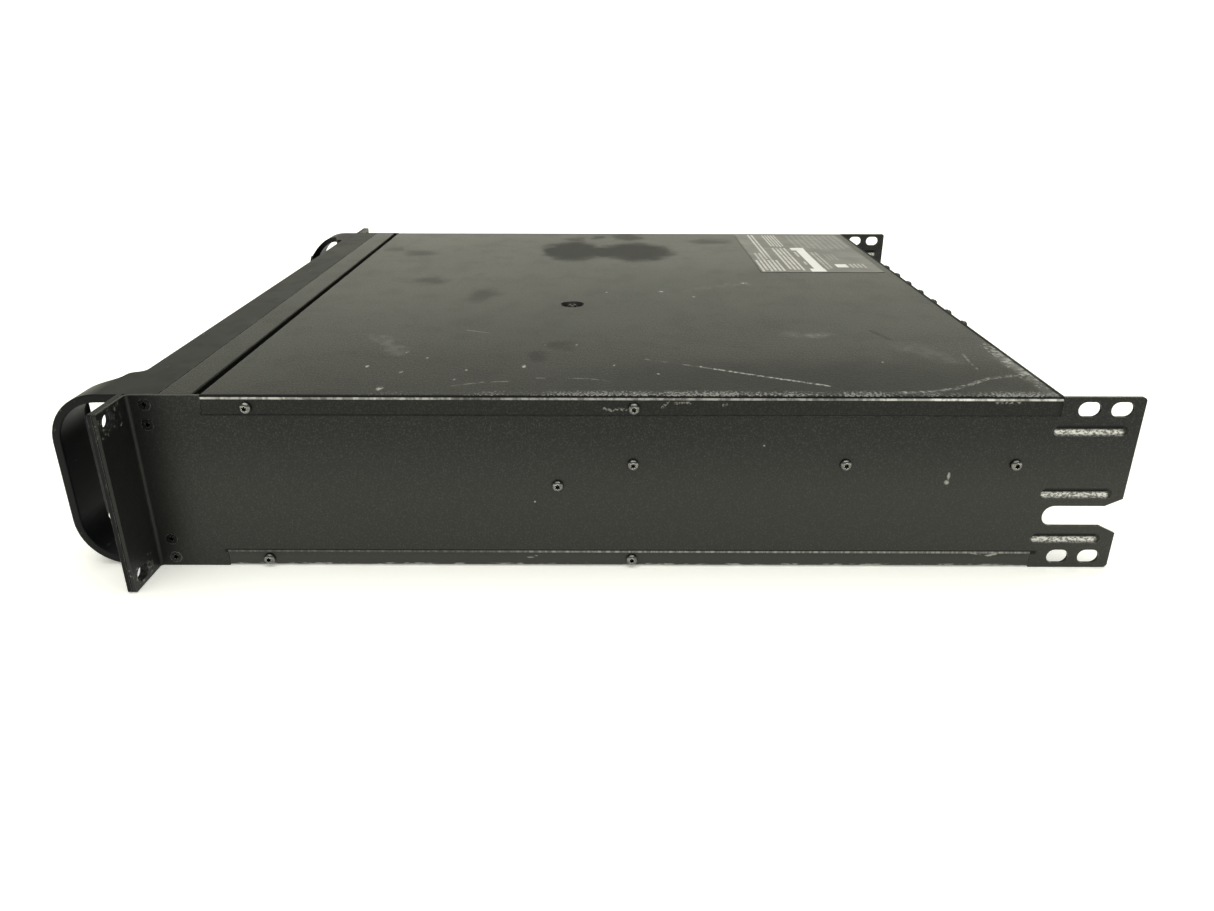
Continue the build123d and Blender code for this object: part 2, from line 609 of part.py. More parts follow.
for number, knob_x in enumerate(KNOB_XS, start=1):
    with BuildPart() as level_pot:
        # Body, threaded bush and nut round a through bore
        rod(8.2, knob_x, KNOB_Z, (PANEL_BACK + 2.2, CONTROL_BOARD_Y - 0.1))
        rod(3.5, knob_x, KNOB_Z, (PANEL_FACE - 1.0, PANEL_BACK + 3))
        with BuildSketch(at_depth(PANEL_FACE + 0.7)):
            with Locations((knob_x, KNOB_Z)):
                RegularPolygon(5.6, 6)
        extrude(amount=1.6)
        rod(SHAFT_RADIUS + 0.06, knob_x, KNOB_Z, (PANEL_FACE - 2, 5.0), mode=Mode.SUBTRACT)
    level_pot.part.label = f"level_pot_{number}"
    export_step(level_pot.part, f"parts/level_pot_{number}.step")

    with BuildPart() as level_shaft:
        rod(SHAFT_RADIUS, knob_x, KNOB_Z, (KNOB_FRONT + 4, 4.5))
        flat_y = (KNOB_FRONT + 3, KNOB_BACK)
        block((knob_x - 4, knob_x + 4), flat_y, (KNOB_Z + 2.2, KNOB_Z + 4), mode=Mode.SUBTRACT)
    level_shaft.part.label = f"level_shaft_{number}"
    export_step(level_shaft.part, f"parts/level_shaft_{number}.step")

    with BuildPart() as level_knob:
        rod(KNOB_RADIUS, knob_x, KNOB_Z, (KNOB_BACK - 3, KNOB_BACK))
        rod(KNOB_RADIUS - 1.8, knob_x, KNOB_Z, (KNOB_FRONT, KNOB_BACK - 3))
        fillet(level_knob.edges().group_by(Axis.Y)[0], radius=1.2)
        with Locations(Plane(origin=(knob_x, KNOB_FRONT - 1, KNOB_Z), z_dir=(0, 1, 0))):
            with PolarLocations(KNOB_RADIUS - 1.4, 20):
                Cylinder(0.9, KNOB_BACK - KNOB_FRONT - 3, align=(
                    Align.CENTER, Align.CENTER, Align.MIN), mode=Mode.SUBTRACT)
        # Pointer groove, recess over the nut, and the bore with its flat
        groove_y = (KNOB_FRONT - 1, KNOB_FRONT + 0.8)
        groove_z = (KNOB_Z + 1.5, KNOB_Z + KNOB_RADIUS)
        block((knob_x - 0.7, knob_x + 0.7), groove_y, groove_z, mode=Mode.SUBTRACT)
        rod(7.5, knob_x, KNOB_Z, (KNOB_BACK - 2.2, KNOB_BACK + 1), mode=Mode.SUBTRACT)
        with BuildSketch(at_depth(KNOB_BACK)):
            with Locations((knob_x, KNOB_Z)):
                Circle(SHAFT_RADIUS + 0.03)
                with Locations((0, 2.23 + 5)):
                    Rectangle(20, 10, mode=Mode.SUBTRACT)
        extrude(amount=KNOB_BACK - KNOB_FRONT - 3.9, mode=Mode.SUBTRACT)
    level_knob.part.label = f"level_knob_{number}"
    export_step(level_knob.part, f"parts/level_knob_{number}.step")

# ---------------------------------------------------------------- power switch

with BuildPart() as power_switch_frame:
    # Bezel, housing through the panel, and a round cavity about the rocker's pivot
    bezel_y = (PANEL_FACE - 1.1, PANEL_FACE)
    block((-9.5, 9.5), bezel_y, (ROCKER_Z - 14, ROCKER_Z + 14))
    fillet(power_switch_frame.edges().filter_by(Axis.Y), radius=1.5)
    housing_y = (PANEL_FACE - 0.5, CONTROL_BOARD_Y - 0.2)
    block((-8.4, 8.4), housing_y, (ROCKER_Z - 12.9, ROCKER_Z + 12.9))
    cavity_radius = ROCKER_RADIUS + 0.4
    cavity_axis = Plane(origin=(0, ROCKER_PIVOT_Y, ROCKER_Z), z_dir=(1, 0, 0))
    with Locations(cavity_axis):
        Cylinder(cavity_radius, 12.4, mode=Mode.SUBTRACT)
    mouth_z = (ROCKER_Z - cavity_radius, ROCKER_Z + cavity_radius)
    block((-6.2, 6.2), (PANEL_FACE - 4, ROCKER_PIVOT_Y), mouth_z, mode=Mode.SUBTRACT)
    with Locations(cavity_axis):
        Cylinder(1.1, 14.8, mode=Mode.SUBTRACT)

power_switch_frame.part.label = "power_switch_frame"
export_step(power_switch_frame.part, "parts/power_switch_frame.step")

with BuildPart() as power_rocker:
    # Shallow V face on a round body that turns inside the housing
    tilted = Plane(
        origin=(0, ROCKER_PIVOT_Y, ROCKER_Z),
        x_dir=(0, cos(radians(ROCKER_TILT)), sin(radians(ROCKER_TILT))),
        z_dir=(1, 0, 0),
    )
    with BuildSketch(tilted):
        with BuildLine():
            tip_out = -ROCKER_RADIUS * cos(radians(78))
            tip_up = ROCKER_RADIUS * sin(radians(78))
            ThreePointArc((tip_out, tip_up), (ROCKER_RADIUS, 0), (tip_out, -tip_up))
            Polyline((tip_out, -tip_up), (-2.0, 0), (tip_out, tip_up))
        make_face()
    extrude(amount=5.9, both=True)
    with Locations(Plane(origin=(0, ROCKER_PIVOT_Y, ROCKER_Z), z_dir=(1, 0, 0))):
        Cylinder(1.0, 14.2)

power_rocker.part.label = "power_rocker"
export_step(power_rocker.part, "parts/power_rocker.step")

# ---------------------------------------------------------------- rear panel

with BuildPart() as rear_panel:
    with BuildSketch(at_depth(REAR_FACE)):
        Rectangle(2 * NARROW, 2 * LID_UNDER - 0.2)
        for x in FAN_XS:
            with Locations((x, FAN_Z)):
                Circle(FAN_BORE - 1, mode=Mode.SUBTRACT)
        with Locations(*fan_corners, *socket_screw_seats, *inlet_screw_seats):
            Circle(CLEARANCE_RADIUS, mode=Mode.SUBTRACT)
        with Locations(*[(x, REAR_SCREW_Z) for x in rear_screw_xs]):
            Circle(CLEARANCE_RADIUS, mode=Mode.SUBTRACT)
        with Locations(*socket_centres):
            Circle(12.1, mode=Mode.SUBTRACT)
        with Locations(*[(x, INPUT_Z + TAB_Z) for x in SOCKET_XS]):
            Rectangle(2 * TAB_HALF[0] + 1, 2 * TAB_HALF[1] + 1, mode=Mode.SUBTRACT)
        with Locations((INLET_X, INLET_Z)):
            Rectangle(28.4, 20.4, mode=Mode.SUBTRACT)
        with Locations((BREAKER_X, BREAKER_Z)):
            Circle(6.1, mode=Mode.SUBTRACT)
        with Locations((MODE_X, MODE_Z)):
            Rectangle(12.4, 6.4, mode=Mode.SUBTRACT)
        # Exhaust slots
        with Locations((101, 0)):
            with GridLocations(8, 17, 6, 4):
                SlotOverall(12, 4, rotation=90, mode=Mode.SUBTRACT)
        with Locations((196, 0)):
            with GridLocations(8, 17, 3, 4):
                SlotOverall(12, 4, rotation=90, mode=Mode.SUBTRACT)
        with Locations((-186, SPEAKER_Z)):
            with GridLocations(8, 17, 5, 2):
                SlotOverall(12, 4, rotation=90, mode=Mode.SUBTRACT)
    extrude(amount=SHEET)
    # Foot flange on the pan and a flange beside each side panel
    flange_y = (REAR_INNER - 12, REAR_INNER + 0.5)
    block((-NARROW, NARROW), flange_y, (-LID_UNDER + 0.1, -LID_UNDER + 0.1 + SHEET))
    for side in (-1, 1):
        block(sorted((side * (NARROW - SHEET), side * NARROW)), flange_y, (-LID_UNDER + 0.1, LID_UNDER - 3))

rear_panel.part.label = "rear_panel"
export_step(rear_panel.part, "parts/rear_panel.step")

# ---------------------------------------------------------------- fans

for number, fan_x in enumerate(FAN_XS, start=1):
    fan_front = REAR_INNER - FAN_DEPTH - 0.1
    fan_back = REAR_INNER - 0.1
    with BuildPart() as fan_frame:
        with BuildSketch(at_depth(fan_back)):
            with Locations((fan_x, FAN_Z)):
                RectangleRounded(FAN_SIZE, FAN_SIZE, 4)
                Circle(FAN_BORE, mode=Mode.SUBTRACT)
                with GridLocations(FAN_HOLE_SPACING, FAN_HOLE_SPACING, 2, 2):
                    Circle(2.1, mode=Mode.SUBTRACT)
        extrude(amount=FAN_DEPTH)
        # Motor disc on four struts, with the bearing bore
        with BuildSketch(at_depth(fan_front + 2.5)):
            with Locations((fan_x, FAN_Z)):
                Circle(FAN_HUB)
                with PolarLocations(FAN_HUB + 9, 4, start_angle=20):
                    Rectangle(20, 3.5)
                Circle(1.6, mode=Mode.SUBTRACT)
        extrude(amount=2.5)
    fan_frame.part.label = f"fan_frame_{number}"
    export_step(fan_frame.part, f"parts/fan_frame_{number}.step")

    with BuildPart() as fan_rotor:
        rotor_y = (fan_front + 3.2, fan_back - 0.8)
        middle_y = sum(rotor_y) / 2
        for i in range(BLADE_COUNT):
            turn = 2 * pi * i / BLADE_COUNT
            pitch = radians(BLADE_PITCH)
            radial = Vector(cos(turn), 0, sin(turn))
            along = Vector(-sin(turn), 0, cos(turn))
            normal = along * sin(pitch) + Vector(0, 1, 0) * cos(pitch)
            origin = Vector(fan_x, middle_y, FAN_Z) + radial * 23
            with Locations(Plane(origin=origin, x_dir=radial, z_dir=normal)):
                Box(22, 15, 1.2)
        rod(FAN_TIP, fan_x, FAN_Z, rotor_y, mode=Mode.INTERSECT)
        rod(FAN_HUB - 0.3, fan_x, FAN_Z, rotor_y)
        fillet(
            fan_rotor.edges().filter_by(GeomType.CIRCLE).group_by(Axis.Y)[-1], radius=1.0
        )
        rod(1.55, fan_x, FAN_Z, (fan_front + 0.3, fan_front + 4))
    fan_rotor.part.label = f"fan_rotor_{number}"
    export_step(fan_rotor.part, f"parts/fan_rotor_{number}.step")

    with BuildPart() as fan_guard:
        # Concentric wires on two crossed spokes that end in screw eyes
        wire = 0.8
        spoke = 1.0
        spoke_y = REAR_FACE + spoke + 0.05
        ring_y = spoke_y + 1.4 * spoke
        with Locations(Plane(origin=(fan_x, ring_y, FAN_Z), z_dir=(0, 1, 0))):
            for ring_radius in (8, 15, 22, 29):
                Torus(ring_radius, wire)
        for angle in (45, 135):
            direction = (cos(radians(angle)), 0, sin(radians(angle)))
            with Locations(Plane(origin=(fan_x, spoke_y, FAN_Z), z_dir=direction)):
                Cylinder(spoke, FAN_HOLE_SPACING * 2**0.5 - 5.8)
        with Locations(*[
            facing((x, spoke_y, z), (0, 1, 0)) for x, z in fan_corners if abs(x - fan_x) < 40
        ]):
            Torus(2.9, wire)
    fan_guard.part.label = f"fan_guard_{number}"
    export_step(fan_guard.part, f"parts/fan_guard_{number}.step")

# ---------------------------------------------------------------- mains inlet

INLET_FACE = REAR_FACE + 2.6
INLET_FLOOR = INLET_FACE - 16.5

with BuildPart() as mains_inlet:
    with BuildSketch(at_depth(INLET_FACE)):
        with Locations((INLET_X, INLET_Z)):
            RectangleRounded(50, 24, 6)
            with GridLocations(40, 0, 2, 1):
                Circle(CLEARANCE_RADIUS, mode=Mode.SUBTRACT)
    extrude(amount=INLET_FACE - REAR_FACE - 0.05)
    fillet(mains_inlet.edges().group_by(Axis.Y)[-1].filter_by(
        lambda edge: edge.length > 15 or edge.radius > 5 if edge.geom_type == GeomType.CIRCLE
        else edge.length > 8
    ), radius=0.8)
    shell_y = (INLET_FLOOR - 3, REAR_FACE + 0.5)
    block((INLET_X - 14, INLET_X + 14), shell_y, (INLET_Z - 10, INLET_Z + 10))
    with BuildSketch(at_depth(INLET_FLOOR)) as cavity:
        with Locations((INLET_X, INLET_Z)):
            Rectangle(24.4, 16.4)
        chamfer(cavity.vertices().group_by(Axis.Y)[-1], length=4.5)
    extrude(amount=-(INLET_FACE - INLET_FLOOR + 1), mode=Mode.SUBTRACT)
    for dx, dz in ((-7, -2), (7, -2), (0, 2)):
        pin_x = (INLET_X + dx - 1.05, INLET_X + dx + 1.05)
        pin_z = (INLET_Z + dz - 2.05, INLET_Z + dz + 2.05)
        block(pin_x, (INLET_FLOOR - 4, INLET_FLOOR + 1), pin_z, mode=Mode.SUBTRACT)

mains_inlet.part.label = "mains_inlet"
export_step(mains_inlet.part, "parts/mains_inlet.step")

with BuildPart() as inlet_pins:
    for dx, dz in ((-7, -2), (7, -2), (0, 2)):
        pin_x = (INLET_X + dx - 1, INLET_X + dx + 1)
        pin_z = (INLET_Z + dz - 2, INLET_Z + dz + 2)
        block(pin_x, (INLET_FLOOR - 11, INLET_FLOOR + 14), pin_z)

inlet_pins.part.label = "inlet_pins"
export_step(inlet_pins.part, "parts/inlet_pins.step")

# ---------------------------------------------------------------- reset breaker

BREAKER_NECK = REAR_FACE + 6.0

with BuildPart() as breaker_body:
    case_y = (396, REAR_INNER - 0.1)
    block((BREAKER_X - 8, BREAKER_X + 8), case_y, (BREAKER_Z - 14, BREAKER_Z + 14))
    rod(6.0, BREAKER_X, BREAKER_Z, (REAR_INNER - 1, BREAKER_NECK))
    rod(3.9, BREAKER_X, BREAKER_Z, (412, BREAKER_NECK + 1), mode=Mode.SUBTRACT)
    for tag_z in (BREAKER_Z - 7, BREAKER_Z + 7):
        block((BREAKER_X - 3, BREAKER_X + 3), (387, 396.5), (tag_z - 0.4, tag_z + 0.4))

breaker_body.part.label = "breaker_body"
export_step(breaker_body.part, "parts/breaker_body.step")

with BuildPart() as breaker_nut:
    with BuildSketch(at_depth(REAR_FACE + 3.0)):
        with Locations((BREAKER_X, BREAKER_Z)):
            RegularPolygon(9.2, 6)
            Circle(6.05, mode=Mode.SUBTRACT)
    extrude(amount=2.95)

breaker_nut.part.label = "breaker_nut"
export_step(breaker_nut.part, "parts/breaker_nut.step")

with BuildPart() as breaker_button:
    rod(3.6, BREAKER_X, BREAKER_Z, (416, BREAKER_NECK + 3.5))
    fillet(breaker_button.edges().group_by(Axis.Y)[-1], radius=0.8)

breaker_button.part.label = "breaker_button"
export_step(breaker_button.part, "parts/breaker_button.step")

# ---------------------------------------------------------------- input sockets

SOCKET_FACE = REAR_FACE + 2.2
FLANGE_HOLE_Y = (REAR_FACE - 1, SOCKET_FACE + 1)

for number, socket_x in enumerate(SOCKET_XS, start=1):
    with BuildPart() as input_socket:
        # Flange, shell behind the panel, bore with a central insert
        with BuildSketch(at_depth(SOCKET_FACE)):
            with Locations((socket_x, INPUT_Z)):
                RectangleRounded(*SOCKET_FLANGE, 3)
        extrude(amount=SOCKET_FACE - REAR_FACE - 0.05)
        fillet(input_socket.edges().group_by(Axis.Y)[-1], radius=0.6)
        rod(11.9, socket_x, INPUT_Z, (REAR_FACE - 22, REAR_FACE + 0.5))
        rod(9.7, socket_x, INPUT_Z, (SOCKET_FACE - 15, SOCKET_FACE + 1), mode=Mode.SUBTRACT)
        rod(7.8, socket_x, INPUT_Z, (SOCKET_FACE - 16, SOCKET_FACE - 1.0))
        for angle in (30, 150, 270):
            contact_x = socket_x + 3.9 * cos(radians(angle))
            contact_z = INPUT_Z + 3.9 * sin(radians(angle))
            rod(1.3, contact_x, contact_z, (SOCKET_FACE - 13, SOCKET_FACE), mode=Mode.SUBTRACT)
        # Slot for the release latch, and the two screw holes
        block(
            (socket_x - TAB_HALF[0] - 0.2, socket_x + TAB_HALF[0] + 0.2),
            (REAR_FACE - 2.6, SOCKET_FACE + 1),
            (INPUT_Z + TAB_Z - TAB_HALF[1] - 0.2, INPUT_Z + TAB_Z + TAB_HALF[1] + 0.2),
            mode=Mode.SUBTRACT,
        )
        for x, z in socket_screw_seats:
            if abs(x - socket_x) < 13 and abs(z - INPUT_Z) < 16:
                rod(CLEARANCE_RADIUS, x, z, FLANGE_HOLE_Y, mode=Mode.SUBTRACT)
    input_socket.part.label = f"input_socket_{number}"
    export_step(input_socket.part, f"parts/input_socket_{number}.step")

    with BuildPart() as input_latch:
        block(
            (socket_x - TAB_HALF[0], socket_x + TAB_HALF[0]),
            (REAR_FACE + 0.3, SOCKET_FACE + 2.2),
            (INPUT_Z + TAB_Z - TAB_HALF[1], INPUT_Z + TAB_Z + TAB_HALF[1]),
        )
        fillet(input_latch.edges().group_by(Axis.Y)[-1], radius=0.6)
    input_latch.part.label = f"input_latch_{number}"
    export_step(input_latch.part, f"parts/input_latch_{number}.step")

# ---------------------------------------------------------------- loudspeaker sockets

for number, socket_x in enumerate(SOCKET_XS, start=1):
    with BuildPart() as speaker_socket:
        with BuildSketch(at_depth(SOCKET_FACE)):
            with Locations((socket_x, SPEAKER_Z)):
                RectangleRounded(*SOCKET_FLANGE, 3)
        extrude(amount=SOCKET_FACE - REAR_FACE - 0.05)
        fillet(speaker_socket.edges().group_by(Axis.Y)[-1], radius=0.6)
        rod(12.0, socket_x, SPEAKER_Z, (REAR_FACE - 22, REAR_FACE + 0.5))
        rod(11.2, socket_x, SPEAKER_Z, (SOCKET_FACE - 17, SOCKET_FACE + 1), mode=Mode.SUBTRACT)
        rod(6.3, socket_x, SPEAKER_Z, (SOCKET_FACE - 18, SOCKET_FACE - 1.5))
        # Two keyways in the flange bore and two locking ribs on the core
        for side in (-1, 1):
            block(
                (socket_x - 1.2, socket_x + 1.2),
                (SOCKET_FACE - 16, SOCKET_FACE - 3),
                sorted((SPEAKER_Z + side * 6.0, SPEAKER_Z + side * 7.6)),
            )
        for x, z in socket_screw_seats:
            if abs(x - socket_x) < 13 and abs(z - SPEAKER_Z) < 16:
                rod(CLEARANCE_RADIUS, x, z, FLANGE_HOLE_Y, mode=Mode.SUBTRACT)
    speaker_socket.part.label = f"speaker_socket_{number}"
    export_step(speaker_socket.part, f"parts/speaker_socket_{number}.step")

# ---------------------------------------------------------------- mode switch

with BuildPart() as mode_switch:
    with BuildSketch(at_depth(REAR_FACE + 1.0)):
        with Locations((MODE_X, MODE_Z)):
            RectangleRounded(18, 9, 1)
    extrude(amount=0.95)
    case_y = (REAR_FACE - 9, REAR_FACE + 0.5)
    slot_y = (REAR_FACE - 5, REAR_FACE + 2)
    block((MODE_X - 6.1, MODE_X + 6.1), case_y, (MODE_Z - 3.1, MODE_Z + 3.1))
    block((MODE_X - 5.2, MODE_X + 5.2), slot_y, (MODE_Z - 2.2, MODE_Z + 2.2), mode=Mode.SUBTRACT)

mode_switch.part.label = "mode_switch"
export_step(mode_switch.part, "parts/mode_switch.step")

with BuildPart() as mode_lever:
    lever_y = (REAR_FACE - 4.7, REAR_FACE + 2.4)
    block((MODE_X - 5.0, MODE_X - 1.0), lever_y, (MODE_Z - 1.9, MODE_Z + 1.9))
    chamfer(mode_lever.edges().group_by(Axis.Y)[-1], length=0.4)

mode_lever.part.label = "mode_lever"
export_step(mode_lever.part, "parts/mode_lever.step")

# ---------------------------------------------------------------- boards and their posts

FLOOR = -LID_UNDER
BOARD_Z = -34.5
AMP_BOARD = ((-205, -92), (60, 385))
SUPPLY_BOARD = ((96, 205), (205, 385))
board_posts = [
    (x, y)
    for (x0, x1), (y0, y1) in (AMP_BOARD, SUPPLY_BOARD)
    for x in (x0 + 6, x1 - 6)
    for y in (y0 + 6, (y0 + y1) / 2, y1 - 6)
]

with BuildPart() as board_standoffs:
    for x, y in board_posts:
        with BuildSketch(Plane.XY.offset(FLOOR)):
            with Locations((x, y)):
                RegularPolygon(3.2, 6)
        extrude(amount=BOARD_Z - FLOOR)
        post(1.4, x, y, (BOARD_Z, BOARD_Z + BOARD))
        post(2.6, x, y, (BOARD_Z + BOARD, BOARD_Z + BOARD + 1.8))

board_standoffs.part.label = "board_standoffs"
export_step(board_standoffs.part, "parts/board_standoffs.step")

for name, board_x, board_y in (
    ("amplifier_board", *AMP_BOARD),
    ("supply_board", *SUPPLY_BOARD),
):
    with BuildPart() as board:
        block(board_x, board_y, (BOARD_Z, BOARD_Z + BOARD))
        for x, y in board_posts:
            post(1.6, x, y, (BOARD_Z - 1, BOARD_Z + BOARD + 1), mode=Mode.SUBTRACT)
    board.part.label = name
    export_step(board.part, f"parts/{name}.step")

PARTS_Z = BOARD_Z + BOARD

with BuildPart() as output_relays:
    for y in (300, 330, 360):
        block((-135, -115), (y - 8, y + 8), (PARTS_Z, PARTS_Z + 16))

output_relays.part.label = "output_relays"
export_step(output_relays.part, "parts/output_relays.step")

with BuildPart() as output_inductors:
    for y in (250, 290, 330):
        with Locations((-170, y, PARTS_Z + 8)):
            Torus(11, 7.5)

output_inductors.part.label = "output_inductors"
export_step(output_inductors.part, "parts/output_inductors.step")

with BuildPart() as filter_capacitors:
    for x in (126, 170):
        for y in (235, 280):
            post(17.5, x, y, (PARTS_Z, PARTS_Z + 50))
    fillet(filter_capacitors.edges().group_by(Axis.Z)[-1], radius=1.5)

filter_capacitors.part.label = "filter_capacitors"
export_step(filter_capacitors.part, "parts/filter_capacitors.step")

with BuildPart() as input_board:
    block((-205, -94), (396, 396 + BOARD), (-8, 38))

input_board.part.label = "input_board"
export_step(input_board.part, "parts/input_board.step")

# ---------------------------------------------------------------- heat sinks and transistors

SINK_BODY_Y = (215, 400)
SINK_CENTRE_X = -4.0
SINK_HALF = 76.0
SINK_BASE = 6.0
FIN_COUNT = 8

for side, name in ((-1, "left"), (1, "right")):
    base = SINK_CENTRE_X + side * SINK_HALF
    with BuildPart() as heat_sink:
        block(sorted((base, base - side * SINK_BASE)), SINK_BODY_Y, (-36, 34))
        for i in range(FIN_COUNT):
            fin_z = -36 + (i + 0.5) * 70 / FIN_COUNT
            block(
                sorted((base - side * 5, SINK_CENTRE_X + side * 2)),
                SINK_BODY_Y,
                (fin_z - 0.9, fin_z + 0.9),
            )
    heat_sink.part.label = f"heat_sink_{name}"
    export_step(heat_sink.part, f"parts/heat_sink_{name}.step")

with BuildPart() as power_transistors:
    for side in (-1, 1):
        case_x = SINK_CENTRE_X + side * SINK_HALF
        for i in range(5):
            y = SINK_BODY_Y[0] + 25 + i * 34
            block(sorted((case_x, case_x + side * 5)), (y - 8, y + 8), (-12, 9))
            lead_x = sorted((case_x + side * 2, case_x + side * 2.8))
            for lead_y in (y - 5.4, y, y + 5.4):
                block(lead_x, (lead_y - 0.6, lead_y + 0.6), (-32, -12))

power_transistors.part.label = "power_transistors"
export_step(power_transistors.part, "parts/power_transistors.step")

# ---------------------------------------------------------------- transformer

TRANSFORMER = (146.0, 124.0)

transformer_axis = Axis((*TRANSFORMER, 0), (0, 0, 1))

with BuildPart() as power_transformer:
    # A ring of round-cornered section, turned about its own upright axis
    with BuildSketch(at_depth(TRANSFORMER[1])):
        with Locations((TRANSFORMER[0] + 41, FLOOR + 28)):
            RectangleRounded(38, 52, 12)
    revolve(axis=transformer_axis)

power_transformer.part.label = "power_transformer"
export_step(power_transformer.part, "parts/power_transformer.step")

with BuildPart() as transformer_clamp:
    # Dished plate over the winding's eye and the bolt through it
    with Locations((*TRANSFORMER, FLOOR + 54.2)):
        Cylinder(30, 1.6, align=(Align.CENTER, Align.CENTER, Align.MIN))
    post(3.9, *TRANSFORMER, (FLOOR, FLOOR + 60))
    with BuildSketch(Plane.XY.offset(FLOOR + 55.5)):
        with Locations(TRANSFORMER):
            RegularPolygon(7.5, 6)
    extrude(amount=6.2)

transformer_clamp.part.label = "transformer_clamp"
export_step(transformer_clamp.part, "parts/transformer_clamp.step")

# ---------------------------------------------------------------- cover post and screws

with BuildPart() as cover_post:
    post_top = LID_UNDER - DIMPLE_DEPTH - 0.05
    with BuildSketch(Plane.XY.offset(FLOOR)):
        with Locations(DIMPLE):
            RegularPolygon(5, 6)
    extrude(amount=post_top - FLOOR)
    post(SHANK_RADIUS + 0.05, *DIMPLE, (post_top - 8, post_top + 1), mode=Mode.SUBTRACT)

cover_post.part.label = "cover_post"
export_step(cover_post.part, "parts/cover_post.step")

with BuildPart() as cover_screw:
    with Locations((*DIMPLE, TOP - DIMPLE_DEPTH)):
        add(pan_screw.part)

cover_screw.part.label = "cover_screw"
export_step(cover_screw.part, "parts/cover_screw.step")

with BuildPart() as side_screws:
    for side in (1, -1):
        with Locations(*[
            facing((side * x, y, z), (side, 0, 0)) for x, y, z in side_seats + flange_seats
        ]):
            add(pan_screw.part)

side_screws.part.label = "side_screws"
export_step(side_screws.part, "parts/side_screws.step")

with BuildPart() as fascia_screws:
    for side in (1, -1):
        with Locations(*[facing((side * x, y, z), (side, 0, 0)) for x, y, z in sink_seats]):
            add(sink_screw.part)

fascia_screws.part.label = "fascia_screws"
export_step(fascia_screws.part, "parts/fascia_screws.step")

with BuildPart() as rear_edge_screws:
    # Each head stands on a washer that is captive on its screw
    head_y = rear_fold_y + WASHER_HEIGHT
    for x in rear_screw_xs:
        rod(WASHER_RADIUS, x, REAR_SCREW_Z, (rear_fold_y, head_y))
    with Locations(*[facing((x, head_y, REAR_SCREW_Z), (0, 1, 0)) for x in rear_screw_xs]):
        add(pan_screw.part)

rear_edge_screws.part.label = "rear_edge_screws"
export_step(rear_edge_screws.part, "parts/rear_edge_screws.step")

with BuildPart() as rear_panel_screws:
    eye_face = REAR_FACE + 1.9
    seats = [(x, eye_face, z) for x, z in fan_corners]
    seats += [(x, SOCKET_FACE, z) for x, z in socket_screw_seats]
    seats += [(x, INLET_FACE, z) for x, z in inlet_screw_seats]
    with Locations(*[facing(seat, (0, 1, 0)) for seat in seats]):
        add(pan_screw.part)

rear_panel_screws.part.label = "rear_panel_screws"
export_step(rear_panel_screws.part, "parts/rear_panel_screws.step")
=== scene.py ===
from math import cos, pi, radians, sin, tau

import bmesh
import bpy
from mathutils import Matrix, Vector


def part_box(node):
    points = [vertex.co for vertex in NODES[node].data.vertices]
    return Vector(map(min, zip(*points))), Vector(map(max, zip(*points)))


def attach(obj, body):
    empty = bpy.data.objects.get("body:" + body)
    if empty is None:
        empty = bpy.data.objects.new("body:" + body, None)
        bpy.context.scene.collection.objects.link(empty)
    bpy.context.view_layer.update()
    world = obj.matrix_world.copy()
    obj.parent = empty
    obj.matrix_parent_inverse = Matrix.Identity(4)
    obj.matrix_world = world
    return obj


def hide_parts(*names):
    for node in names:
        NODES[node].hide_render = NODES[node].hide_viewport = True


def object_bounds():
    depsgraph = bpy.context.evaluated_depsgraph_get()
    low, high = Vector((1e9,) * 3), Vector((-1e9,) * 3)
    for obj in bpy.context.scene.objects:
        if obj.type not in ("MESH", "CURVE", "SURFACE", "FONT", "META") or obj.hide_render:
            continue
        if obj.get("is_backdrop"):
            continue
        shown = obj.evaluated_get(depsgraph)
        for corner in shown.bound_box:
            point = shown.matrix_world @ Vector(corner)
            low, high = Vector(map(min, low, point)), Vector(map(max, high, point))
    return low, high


# Looks of a two-unit rack power amplifier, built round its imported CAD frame.
#
# Row frame, metres: +X is the right side seen from the front, +Y the rear, +Z up.
# The origin is the centre of the four front rack slots.

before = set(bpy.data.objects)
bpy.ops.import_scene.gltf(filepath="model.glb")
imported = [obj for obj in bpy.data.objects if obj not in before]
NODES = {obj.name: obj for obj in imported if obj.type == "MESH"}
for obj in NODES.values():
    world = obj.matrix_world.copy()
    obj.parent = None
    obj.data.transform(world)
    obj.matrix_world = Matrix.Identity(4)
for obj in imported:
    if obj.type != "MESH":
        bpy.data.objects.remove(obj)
cad_low, cad_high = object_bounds()

# ---------------------------------------------------------------- places

MM = 0.001
COVER_LOW, COVER_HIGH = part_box("top_cover")
PANEL_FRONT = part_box("control_panel")[0].y
LABEL_LOW, LABEL_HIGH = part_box("rating_label")
TOP = COVER_HIGH.z
SIDE = COVER_HIGH.x
COVER_REAR = COVER_HIGH.y
PAN_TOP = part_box("bottom_pan")[1].z

# ---------------------------------------------------------------- colours

